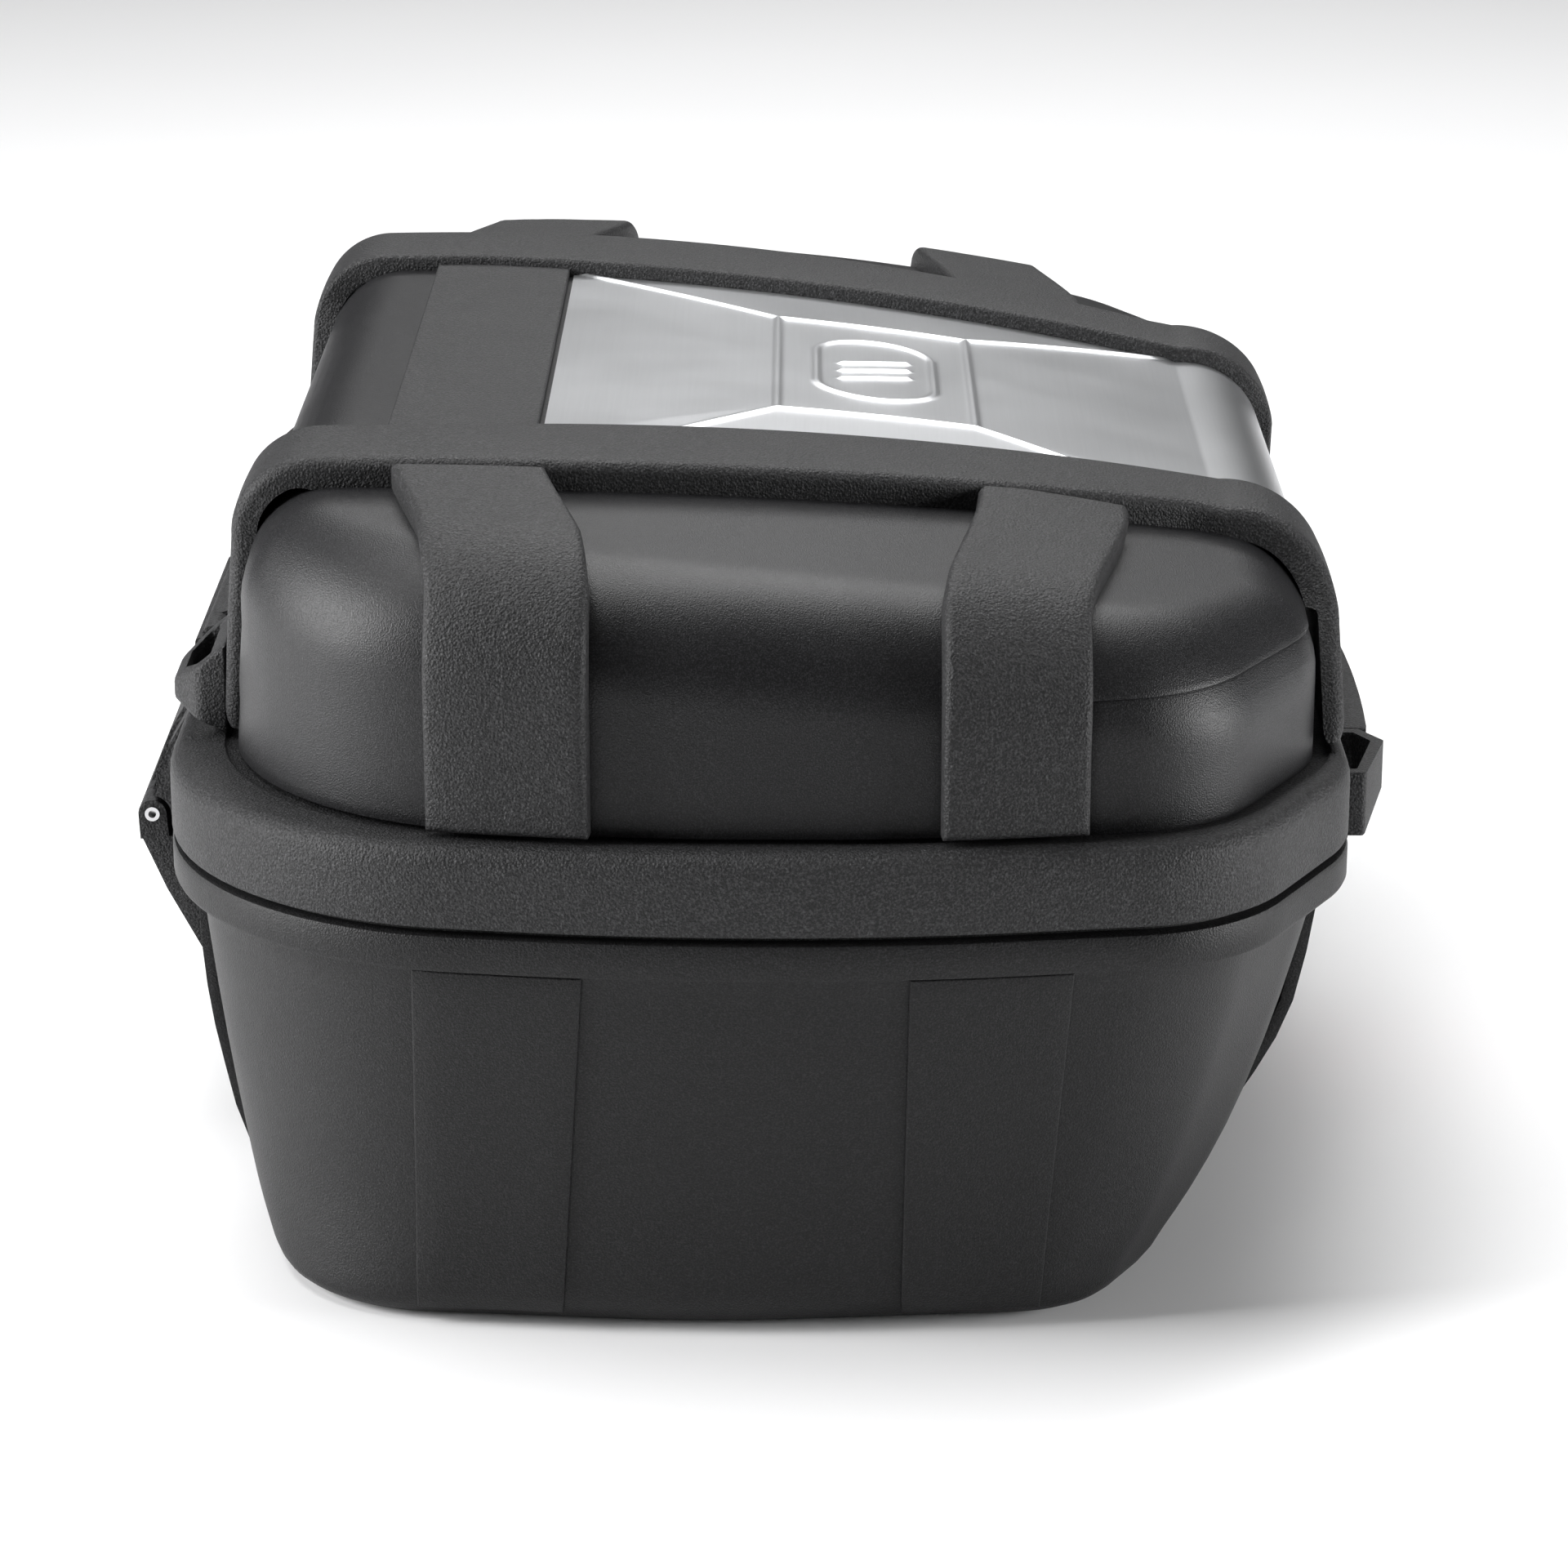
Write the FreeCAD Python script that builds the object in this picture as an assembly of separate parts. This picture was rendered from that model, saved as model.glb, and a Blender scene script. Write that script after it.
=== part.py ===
import FreeCAD, Part
import math
import os

# A rigid motorcycle side case lying on its rack side. X runs from the hinge side (-X) to the
# lock side (+X), Y along the case, Z up. The origin is the middle of the underside. Millimetres.

V = FreeCAD.Vector

# Main sizes
SEAM_Z = 139.0              # top face of the lower shell's rim
SEAM_GAP = 2.0              # open joint between the rim and the lid belt
RIM_H = 12.0
BELT_TOP = 167.0            # top face of the ledge that the flap closes on
WALL = 3.0
BELT = (-187.0, 188.0, 271.0)   # left side, right side, nose of the curved long ends
RIM_WALL = 3.5

# Lower shell: height, left side, right side, nose of the ends
SHELL_LEVELS = (
    (0.0, -136.0, 112.0, 231.0),
    (14.0, -158.0, 138.0, 243.0),
    (45.0, -171.0, 160.0, 250.0),
    (128.0, -179.5, 180.0, 262.0),
)
BAND_PROUD = 1.2
BLOCK_HALF = 145.0          # the raised middle panels on both long sides

# Lid
LID = (-166.0, 178.0, 256.0)    # outline of the flap's wall
CROWN_X = -120.0            # highest point of the lid's crown
CROWN_Z = 263.0             # top of the bars there
CROWN_R = 1400.0
BAR_STEP_IN = 5.4           # bar top above the middle panel
BAR_STEP_OUT = 9.8          # bar top above the sloping end facet
BAR_H = 6.0                 # bar thickness over the lid's left and right ends
CHIN_TOP = 208.0            # fixed part of the lid on the lock side
CHIN_X = 101.0
PART_GAP = 0.6              # gap round the flap
PAD_PROUD = 8.0
BAND_X = (-119.0, -70.0)
PLATE_T = 1.5
BAND_T = 2.4

# Hinges, lock, handle
HINGE = (-205.0, 114.0)
HINGE_HALF = 73.0
HINGE_R = 4.8
PIN_R = 2.5
RUN = 0.05                  # radial running clearance of every pin
FLAP_HINGE = (-184.0, 172.0)
FLAP_PIN_R = 1.5
LEVER_PIVOT = (193.2, 145.0)
LEVER_HALF = 25.0
HANDLE_PIVOT = (195.0, 100.0)
HANDLE_HALF = 56.0
HOUSING_HALF = 43.0
LOCK_Z = 112.0
LOCK_R = 9.0

# Rack side
RECESS = (-84.0, 92.0, 168.0)   # left, right, half length
RECESS_TOP = 4.4
RACK_PLATE_Z = (1.2, 4.2)
STUD_X = -58.0
STUD_Y = 105.0
STUD_R = 10.0
SCREW_R = 2.4
CATCH_HALF = 14.0


# ---- drawing helpers -------------------------------------------------------

def rounded_wire(corners, place):
    """Closed wire through corners (u, v, radius), each rounded by a tangent arc."""
    count = len(corners)
    stops = []
    for i in range(count):
        a = V(corners[i - 1][0], corners[i - 1][1], 0)
        b = V(corners[i][0], corners[i][1], 0)
        c = V(corners[(i + 1) % count][0], corners[(i + 1) % count][1], 0)
        into = (b - a).normalize()
        out = (c - b).normalize()
        turn = into.getAngle(out)
        radius = corners[i][2]
        if radius <= 0 or turn < 1e-4:
            stops.append((b, b, b))
            continue
        reach = radius * math.tan(turn / 2)
        inward = (out - into).normalize()
        middle = b + inward * (radius / math.cos(turn / 2) - radius)
        stops.append((b - into * reach, middle, b + out * reach))
    edges = []
    for i in range(count):
        start, middle, end = stops[i]
        if (end - start).Length > 1e-6:
            edges.append(Part.Arc(place(*start), place(*middle), place(*end)).toShape())
        following = stops[(i + 1) % count][0]
        if (following - end).Length > 1e-6:
            edges.append(Part.LineSegment(place(*end), place(*following)).toShape())
    return Part.Wire(edges)


def level_wire(corners, z):
    return rounded_wire(corners, lambda u, v, w: V(u, v, z))


def prism_z(corners, z0, z1):
    return Part.Face(level_wire(corners, z0)).extrude(V(0, 0, z1 - z0))


def prism_y(corners, y0, y1):
    """Solid from an X-Z outline (x, z, radius)."""
    wire = rounded_wire(corners, lambda u, v, w: V(u, y0, v))
    return Part.Face(wire).extrude(V(0, y1 - y0, 0))


def prism_x(corners, x0, x1):
    """Solid from a Y-Z outline (y, z, radius)."""
    wire = rounded_wire(corners, lambda u, v, w: V(x0, u, v))
    return Part.Face(wire).extrude(V(x1 - x0, 0, 0))


def box(x0, x1, y0, y1, z0, z1):
    return Part.makeBox(x1 - x0, y1 - y0, z1 - z0, V(x0, y0, z0))


def rod_x(y, z, r, x0, x1):
    return Part.makeCylinder(r, x1 - x0, V(x0, y, z), V(1, 0, 0))


def rod_y(x, z, r, y0, y1):
    return Part.makeCylinder(r, y1 - y0, V(x, y0, z), V(0, 1, 0))


def rod_z(x, y, r, z0, z1):
    return Part.makeCylinder(r, z1 - z0, V(x, y, z0), V(0, 0, 1))


def mirrored(shape):
    return shape.mirror(V(0, 0, 0), V(0, 1, 0))


def joined(shapes):
    whole = shapes[0].fuse(shapes[1:]) if len(shapes) > 1 else shapes[0]
    return whole.removeSplitter()


def soften(shape, radius, choose):
    """Rounds the edges that choose() accepts, and leaves the shape as it is if that fails."""
    edges = [edge for edge in shape.Edges if choose(edge)]
    try:
        rounded = shape.makeFillet(radius, edges)
    except Exception:
        return shape
    return rounded if rounded.isValid() and len(rounded.Solids) == 1 else shape


def save(name, shape):
    solids = shape.Solids
    kept = solids[0] if len(solids) == 1 else Part.makeCompound(solids)
    kept.exportStep("parts/" + name + ".step")
    box_now = kept.BoundBox
    print("%-22s solids %d valid %s volume %.1f cm3  x %.1f %.1f  y %.1f %.1f  z %.1f %.1f" % (
        name, len(solids), kept.isValid(), kept.Volume / 1000, box_now.XMin, box_now.XMax,
        box_now.YMin, box_now.YMax, box_now.ZMin, box_now.ZMax))


# ---- outlines --------------------------------------------------------------

def plan(left, right, nose, inset=0.0):
    """Case outline from above: big rounds on the hinge side, chamfers on the lock side."""
    k = (right - left) / (BELT[1] - BELT[0])
    near = [
        (left, -(nose - 27.0 * k), 109.0 * k),
        ((left + right) / 2 + 2.5, -nose, 560.0 * k),
        (right - 41.0 * k, -(nose - 20.3 * k), 60.0 * k),
        (right, -(nose - 93.3 * k), 60.0 * k),
    ]
    far = [(x, -y, r) for x, y, r in reversed(near)]
    corners = near + far
    moved = []
    for i, (x, y, r) in enumerate(corners):
        a = V(corners[i - 1][0], corners[i - 1][1], 0)
        b = V(x, y, 0)
        c = V(corners[(i + 1) % 8][0], corners[(i + 1) % 8][1], 0)
        into = (b - a).normalize()
        out = (c - b).normalize()
        side = V(-into.y - out.y, into.x + out.x, 0)
        shift = inset / (1 + into.dot(out))
        moved.append((x + side.x * shift, y + side.y * shift, r - inset))
    return moved


def crown(x):
    """Height of the bars' top along the case's width."""
    return CROWN_Z - (x - CROWN_X) ** 2 / (2 * CROWN_R)


def bar_inner(x):
    return 121.5 - 0.1286 * max(0.0, x + 100.0)


def bar_outer(x):
    s = max(0.0, x + 75.0)
    if x > 145.0:
        return 128.5 + (x - 145.0) * 0.95
    return 164.8 - 0.055 * s - 0.00056 * s * s


def end_profile(inset, y0, y1):
    """The lid's X-Z outline: two rounded shoulders joined by the crown."""
    d = inset

    def at(x, z):
        return V(x, y0, z)

    crown_mid = 3.5
    points = (
        at(-171.5 + d, 150), at(-164.5 + d, 236 - 0.3 * d), at(-157 + 0.7 * d, 254.5 - 0.7 * d),
        at(-138, 262.4 - d), at(crown_mid, crown(crown_mid) - d), at(146 - 0.2 * d, 237 - d),
        at(170 - 0.7 * d, 226.5 - 0.7 * d), at(181.5 - d, 205), at(185 - d, 150),
    )
    edges = [
        Part.LineSegment(points[0], points[1]).toShape(),
        Part.Arc(points[1], points[2], points[3]).toShape(),
        Part.Arc(points[3], points[4], points[5]).toShape(),
        Part.Arc(points[5], points[6], points[7]).toShape(),
        Part.LineSegment(points[7], points[8]).toShape(),
        Part.LineSegment(points[8], points[0]).toShape(),
    ]
    return Part.Face(Part.Wire(edges)).extrude(V(0, y1 - y0, 0))


def crown_loft(inset):
    """The lid's Y-Z outline carried along X: end walls, shoulders, facets and middle panel."""
    d = inset
    wires = []
    for x in (-190.0, -120.0, -60.0, 0.0, 60.0, 120.0, 200.0):
        top = crown(x) - d
        inner = bar_inner(min(x, 150.0))
        outer = bar_outer(min(x, 145.0))
        half = [
            (250.5 - d, 150.0, 0),
            (250.5 - d, top - 17.5, 35.0 - d),
            (outer, top - BAR_STEP_OUT, 0),
            (inner, top - BAR_STEP_IN, 0),
        ]
        other = [(-y, z, r) for y, z, r in reversed(half)]
        wires.append(rounded_wire(half + other, lambda u, v, w, x=x: V(x, u, v)))
    return Part.makeLoft(wires, True, False)


def lid_body(inset):
    """The smooth lid form, set inward by inset."""
    walls = prism_z(plan(*LID, inset=inset), 150.0, 280.0)
    return crown_loft(inset).common(walls).common(end_profile(BAR_H + inset, -300, 300))


# ---- lower shell -----------------------------------------------------------

def shell_loft(inset, lift):
    wires = []
    for i, (z, left, right, nose) in enumerate(SHELL_LEVELS):
        raised = z + (lift if i < 2 else 0.0)
        wires.append(level_wire(plan(left, right, nose, inset), raised))
    return Part.makeLoft(wires, True, True)


def shell_outside():
    left_block = prism_y([(-181.5, 128, 0), (-180.5, 94, 30), (-178, 70, 30), (-173, 42, 30),
                          (-160, 16, 0), (-150, 16, 0), (-150, 128, 0)], -BLOCK_HALF, BLOCK_HALF)
    right_block = prism_y([(181, 128, 0), (120, 128, 0), (120, 2, 0), (134, 2, 0), (150, 24, 40),
                           (164, 50, 40), (173, 73, 40), (179, 107, 30)], -BLOCK_HALF, BLOCK_HALF)
    proud = shell_loft(-BAND_PROUD, 0.0)
    shapes = [shell_loft(0.0, 0.0), left_block, right_block]
    for top_a, top_b, low_a, low_b in ((-104, -52, -106, -60), (47, 97, 45.5, 89)):
        strip = prism_y([(low_a, 6, 0), (low_b, 6, 0), (top_b, 126, 0), (top_a, 126, 0)], -300, 300)
        ends = box(-130, 130, -190, 190, -10, 140)
        shapes.append(proud.common(strip).cut(ends))
    rim = prism_z(plan(*BELT), SEAM_Z - RIM_H, SEAM_Z)
    shapes.append(rim)
    return joined(shapes)


def catch_hole():
    return box(38, 91, -20, 20, -1, 12)


def stud_pockets(grow):
    return [rod_z(STUD_X, side * STUD_Y, STUD_R + 1.5 + grow, -1, 17 + grow) for side in (-1, 1)]


def rack_screw_places():
    return [(x, y) for x in (-74.0, 82.0) for y in (-150.0, -50.0, 50.0, 150.0)]


def lower_shell(outside):
    left, right, half = RECESS
    cavity = shell_loft(WALL, WALL)
    opening = prism_z(plan(*SHELL_LEVELS[-1][1:], inset=WALL), 127.5, SEAM_Z + 1)
    pan = box(left - WALL, right + WALL, -half - WALL, half + WALL, -1, RECESS_TOP + WALL)
    raised = [pan] + stud_pockets(WALL)
    for x, y in rack_screw_places():
        raised.append(rod_z(x, y, 6.0, 0, 16))
    hollow = cavity.fuse(opening).cut(joined(raised))
    recess = box(left, right, -half, half, -1, RECESS_TOP)
    cuts = [hollow, recess, catch_hole()] + stud_pockets(0)
    for x, y in rack_screw_places():
        cuts.append(rod_z(x, y, SCREW_R + RUN, -1, 13))
    return outside.cut(cuts)


def base_seal():
    ring = prism_z(plan(*BELT, inset=5.0), SEAM_Z, SEAM_Z + 5)
    return ring.cut(prism_z(plan(*BELT, inset=8.0), SEAM_Z - 1, SEAM_Z + 6))


# ---- rack side -------------------------------------------------------------

def countersunk_screw(x, y, z0, length):
    head = Part.makeCone(4.4, SCREW_R, 2.0, V(x, y, z0), V(0, 0, 1))
    shank = rod_z(x, y, SCREW_R, z0 + 1, z0 + length)
    drive = rod_z(x, y, 1.5, z0 - 1, z0 + 1.2)
    return head.fuse(shank).cut(drive)


def rack_plate():
    left, right, half = RECESS
    low, high = RACK_PLATE_Z
    edge = 1.0
    outline = [(left + edge, -half + edge, 8), (right - edge, -half + edge, 8),
               (right - edge, half - edge, 8), (left + edge, half - edge, 8)]
    plate = prism_z(outline, low, high)
    for side in (-1, 1):
        rib = box(-20, 28, side * 84 - 12, side * 84 + 12, low, low + 1.5)
        plate = plate.cut(rib)
        plate = plate.cut(rod_z(STUD_X, side * STUD_Y, STUD_R, low - 1, high + 1))
    plate = plate.cut(box(74, 88, -16, 16, low - 1, high + 1))
    for x, y in rack_screw_places():
        plate = plate.cut(Part.makeCone(4.5, SCREW_R + 0.1, 2.05, V(x, y, low - 0.001), V(0, 0, 1)))
        plate = plate.cut(rod_z(x, y, SCREW_R + 0.1, low, high + 1))
    return plate


def rack_plate_screws():
    screws = [countersunk_screw(x, y, RACK_PLATE_Z[0], 10.5) for x, y in rack_screw_places()]
    return Part.makeCompound(screws)


def rack_catch():
    """Sliding bolt over the window of the rack plate, with a bevelled nose and a spring bore."""
    body = prism_y([(52, 4.6, 0), (73, 4.6, 1), (81, 8.5, 1), (81, 12, 2), (76, 14, 2), (52, 14, 2)],
                   -CATCH_HALF, CATCH_HALF)
    return body.cut(rod_x(0, 9.4, 4.2, 51, 66))


def catch_housing():
    """Channel over the hole in the floor, open below for the catch and the striker."""
    channel = box(35, 94, -23, 23, RECESS_TOP + WALL, 19)
    return channel.cut(box(30, 100, -20, 20, 0, 16))


def catch_end_plates():
    low = RECESS_TOP + WALL
    return Part.makeCompound([box(35, 38, -20, 20, low, 16), box(91, 94, -20, 20, low, 16)])


def coil(center_y, center_z, x0, x1, radius, wire, turns):
    helix = Part.makeHelix((x1 - x0) / turns, x1 - x0, radius)
    ring = Part.Wire(Part.makeCircle(wire, V(radius, 0, 0), V(0, 1, 0)))
    spring = Part.Wire(helix).makePipeShell([ring], True, True)
    spring.rotate(V(0, 0, 0), V(0, 1, 0), 90)
    spring.translate(V(x0, center_y, center_z))
    return spring


# ---- main hinge ------------------------------------------------------------

def hinge_lower_leaf(outside):
    px, pz = HINGE
    body = prism_y([(-160, 106, 0), (-160, 56, 0), (-181, 56, 3), (-189.5, 65, 6), (-201, 87, 8),
                    (-209, 106, 1)], -HINGE_HALF, HINGE_HALF)
    shapes = [body]
    for y0, y1 in ((-HINGE_HALF, -58), (-10, 10), (58, HINGE_HALF)):
        shapes.append(rod_y(px, pz, HINGE_R, y0, y1))
        neck = prism_y([(px - 4.4, 105, 0), (px + 5.5, 105, 0), (px + HINGE_R, pz, 0),
                        (px - HINGE_R, pz, 0)], y0, y1)
        shapes.append(neck)
    leaf = joined(shapes).cut(outside)
    return leaf.cut(rod_y(px, pz, PIN_R + RUN, -90, 90))


def hinge_upper_leaf():
    px, pz = HINGE
    inner_x = BELT[0] - 0.3
    shapes = []
    for half, step in ((HINGE_HALF, 3.2), (66.0, 1.6), (50.0, 0.0)):
        layer = prism_y([(px + 4, pz - 2, 0), (inner_x, 122, 0), (inner_x, 169, 0),
                         (inner_x - 3.8 + step * 0.6, 169, 1.5),
                         (-192.5 + step, 150.6, 8), (-201 + step, 136, 20),
                         (-208.8 + step, 116, 0)], -half, half)
        shapes.append(layer)
    for y0, y1 in ((-57.5, -10.5), (10.5, 57.5)):
        shapes.append(rod_y(px, pz, HINGE_R, y0, y1))
    leaf = joined(shapes)
    for y0, y1 in ((-HINGE_HALF - 1, -57.6), (-10.4, 10.4), (57.6, HINGE_HALF + 1)):
        leaf = leaf.cut(rod_y(px, pz, HINGE_R + 1.6, y0, y1))
    leaf = leaf.cut(box(px - 12, px + 3.5, -90, 90, pz - 9, pz).cut(rod_y(px, pz, HINGE_R, -90, 90)))
    return leaf.cut(rod_y(px, pz, PIN_R + RUN, -90, 90))


def hinge_pin():
    px, pz = HINGE
    pin = rod_y(px, pz, PIN_R, -HINGE_HALF - 0.6, HINGE_HALF + 0.6)
    for y in (-HINGE_HALF - 0.6, HINGE_HALF - 2.4):
        pin = pin.cut(rod_y(px, pz, 1.3, y, y + 3))
    return pin


# ---- lid frame -------------------------------------------------------------

def lid_frame():
    low = SEAM_Z + SEAM_GAP
    skirt = prism_z(plan(*BELT), low, BELT_TOP - 2)
    bevel = Part.makeLoft([level_wire(plan(*BELT), BELT_TOP - 2),
                           level_wire(plan(*BELT, inset=1.6), BELT_TOP)], True, True)
    ring = joined([skirt, bevel])
    ring = ring.cut(prism_z(plan(*BELT, inset=RIM_WALL), low - 1, BELT_TOP - 3.5))
    ring = ring.cut(prism_z(plan(*LID, inset=6.0), low, BELT_TOP + 1))
    chin = lid_body(1.5).cut(lid_body(1.5 + WALL))
    chin = chin.common(box(CHIN_X, 220, -300, 300, BELT_TOP - 3, CHIN_TOP - PART_GAP))
    return joined([ring, chin])


# ---- flap ------------------------------------------------------------------

def strip_plan(x0, x1, inner, outer, steps=8):
    """Plan outline of a strip between two lines y = inner(x) and y = outer(x)."""
    xs = [x0 + (x1 - x0) * i / steps for i in range(steps + 1)]
    forward = [(x, inner(x), 0) for x in xs]
    back = [(x, outer(x), 0) for x in reversed(xs)]
    return forward + back


def flap_shell(body):
    hollow = lid_body(WALL)
    shell = body.cut(hollow).common(box(-300, 300, -300, 300, BELT_TOP + PART_GAP, 300))
    chin_zone = box(CHIN_X - PART_GAP, 300, -300, 300, 100, CHIN_TOP)
    return shell.cut(chin_zone)


def bar(body, chin):
    """Far-side carrying bar: a strip over the lid with a leg at each end."""
    band = end_profile(0.0, 60, 190).cut(end_profile(14.0, 50, 200))
    top = prism_z(strip_plan(-190, 150, bar_inner, bar_outer), 150, 280)
    right_leg = prism_x([(88, 280, 0), (88, 236, 0), (110, 150, 0), (168, 150, 0), (166, 176, 30),
                         (132, 232, 30), (132, 280, 0)], 149.9, 200)
    left_leg = prism_x([(112, 280, 0), (112, 232, 20), (104, 150, 0), (149, 150, 0), (164, 232, 20),
                        (166, 280, 0)], -200, -149.9)
    shape = band.common(joined([top.common(box(-150, 150, 0, 300, 100, 300)), right_leg, left_leg]))
    shape = shape.cut(body)
    shape = shape.common(box(-300, 300, 0, 300, BELT_TOP + 3.0, 300))
    clear = end_profile(BAR_H - 1.5, 0, 300).common(box(CHIN_X, 300, 0, 300, 100, CHIN_TOP + 2))
    shape = shape.cut(clear)
    solids = sorted(shape.Solids, key=lambda s: -s.Volume)
    return solids[0]


def strap_loop():
    """Loop for a luggage strap at the far bar's hinge-side foot."""
    outer = [(-170.0, 104, 0), (-170.0, 149, 0), (-179.5, 149, 2), (-187.5, 137, 3),
             (-187.5, 114, 3), (-180, 104, 2)]
    inner = [(-174.6, 110, 1), (-174.6, 144, 1), (-178.6, 144, 1), (-183.8, 135, 1),
             (-183.8, 116, 1), (-179, 110, 1)]
    block = prism_z(outer, 171.5, 197)
    block = block.common(prism_y([(-168, 197, 0), (-184, 193, 2), (-190, 182, 2), (-186, 176, 2),
                                  (-176, 171.5, 0), (-168, 171.5, 0)], 100, 160))
    return block.cut(prism_z(inner, 165, 200))


def pad(raised, body, bars, side, near_x, far_x):
    """Bump pad on an end wall, over the shoulder to the bar; side is -1 near, 1 far."""
    a, b = near_x
    c, d = far_x
    corners = [(a, 268, 0), (a, 226, 0), (c, 150, 0), (d, 150, 0), (b, 226, 0), (b, 268, 0)]
    corners = [(x, side * y, r) for x, y, r in corners]
    if side > 0:
        corners.reverse()
    zone = prism_z(corners, BELT_TOP + 1.2, 290)
    shape = raised.common(zone).cut(body).cut(bars)
    solids = sorted(shape.Solids, key=lambda s: -s.Volume)
    return solids[0]


def middle_strip(x0, x1, gap):
    def near(x):
        return -(bar_inner(min(x, 150.0)) - gap)

    def far(x):
        return bar_inner(min(x, 150.0)) - gap
    return strip_plan(x0, x1, near, far)


def top_band(body):
    zone = prism_z(middle_strip(BAND_X[0], BAND_X[1], 0.3), 200, 290)
    return crown_loft(-BAND_T).common(zone).cut(body)


def top_plate(body):
    zone = prism_z(middle_strip(BAND_X[1] + 0.3, 195, 0.3), CHIN_TOP + 1, 290)
    skin = crown_loft(-PLATE_T).common(end_profile(BAR_H - PLATE_T, -300, 300))
    return skin.common(zone).cut(body)


# ---- flap hinge and latch --------------------------------------------------

def flap_hinge_base():
    px, pz = FLAP_HINGE
    shapes = []
    for y0, y1 in ((-58, -42), (-8, 8), (42, 58)):
        foot = prism_y([(px - 2.4, BELT_TOP, 0), (px + 3.8, BELT_TOP, 0), (px + 3.8, pz, 0),
                        (px - 3.8, pz, 0)], y0, y1)
        shapes.append(joined([foot, rod_y(px, pz, 3.8, y0, y1)]).cut(rod_y(px, pz, FLAP_PIN_R + RUN, -70, 70)))
    return Part.makeCompound(shapes)


def flap_hinge_leaf(body):
    px, pz = FLAP_HINGE
    plate = prism_y([(px, pz - 3.8, 0), (-160, pz - 3.8, 0), (-160, pz + 20, 0), (-168.6, pz + 20, 1),
                     (-168.6, pz + 5.5, 3), (px, pz + 3.8, 0)], -41.5, 41.5)
    gap = box(px - 6, px + 4.4, -8.5, 8.5, pz - 6, pz + 6)
    leaf = joined([plate, rod_y(px, pz, 3.8, -41.5, 41.5)]).cut(gap).cut(body)
    return leaf.cut(rod_y(px, pz, FLAP_PIN_R + RUN, -70, 70))


def latch_window(grow):
    return box(150, 200, -22 - grow, 22 + grow, 183 - grow, 200 + grow)


def flap_latch_button():
    """Key in the chin: a shaped cap outside the wall and a stem inside it."""
    return prism_y([(166, 183.4, 0), (180.5, 183.4, 1), (182, 190, 4), (179.5, 199.6, 1),
                    (166, 199.6, 0)], -21.6, 21.6)


def flap_latch_hook():
    """Bolt behind the key: its lip ends just short of the keeper, so each can move alone."""
    return prism_y([(160, 186, 1), (166, 186, 0), (166, 204, 0), (169.2, 204, 0.5),
                    (169.2, 207, 0.5), (163, 207, 1), (160, 203, 1)], -15, 15)


def flap_keeper():
    """Striker inside the flap's lock-side shoulder."""
    block = prism_y([(160, 209.3, 1), (172, 209.3, 0), (176, 214, 0), (176, 230, 0), (168, 230, 0),
                     (160, 216, 2)], -18, 18)
    return block.common(lid_body(WALL))


# ---- lock side of the base ------------------------------------------------

def lock_housing(outside):
    px, pz = HANDLE_PIVOT
    block = prism_y([(150, 56, 0), (178, 56, 6), (196, 84, 10), (200, 104, 10), (200, 114, 8),
                     (197, 128, 6), (190, 137.5, 3), (150, 137.5, 0)], -HOUSING_HALF, HOUSING_HALF)
    lx, lz = LEVER_PIVOT
    ears = []
    for y in (-30.0, 25.8):
        ear = prism_y([(lx - 3.2, 134, 0), (lx + 1.0, 134, 0), (lx + 3.2, 140, 0), (lx + 3.2, lz, 0),
                       (lx - 3.2, lz, 0)], y, y + 4.2)
        ears.append(joined([ear, rod_y(lx, lz, 3.2, y, y + 4.2)]))
    body = joined([block] + ears).cut(outside)
    body = body.cut(rod_y(lx, lz, FLAP_PIN_R + RUN, -60, 60))
    body = body.cut(rod_x(0, LOCK_Z, LOCK_R + RUN, 186.9, 210))
    body = body.cut(rod_x(0, LOCK_Z, 14.0, 182.0, 187.0))
    body = body.cut(box(181.5, 215, -16.4, 16.4, 72.6, 89.4))
    return body.cut(rod_y(px, pz, 3.0 + RUN, -60, 60))


def lock_lever():
    lx, lz = LEVER_PIVOT
    plate = prism_y([(191.5, 147, 0), (191.5, 161.2, 0), (190.9, 161.8, 0), (190.9, 165, 1),
                     (192.5, 171.5, 1.5), (196.5, 172.5, 1.5), (195.4, 160, 20), (195.8, lz, 0),
                     (lx - 1, lz, 0)], -LEVER_HALF, LEVER_HALF)
    return joined([plate, rod_y(lx, lz, 3.0, -LEVER_HALF, LEVER_HALF)]).cut(
        rod_y(lx, lz, FLAP_PIN_R + RUN, -60, 60))


def lever_keeper():
    return prism_y([(188, 151, 0), (189.6, 151.5, 0.5), (190.3, 158, 0.8), (190.3, 160.2, 0.5),
                    (188, 160.2, 0)], -22, 22)


def lock_cylinder():
    body = rod_x(0, LOCK_Z, LOCK_R, 187.2, 201.2)
    body = soften(body, 0.8, lambda e: abs(e.BoundBox.XMin - 201.2) < 0.01 and e.BoundBox.XLength < 0.01)
    return body.cut(box(192, 203, -0.9, 0.9, LOCK_Z - 4.5, LOCK_Z + 4.5))


def lock_cam():
    return prism_x([(-5, LOCK_Z - 5, 2), (5, LOCK_Z - 5, 2), (5, LOCK_Z + 12, 2),
                    (-5, LOCK_Z + 12, 2)], 183.0, 186.6)


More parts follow.
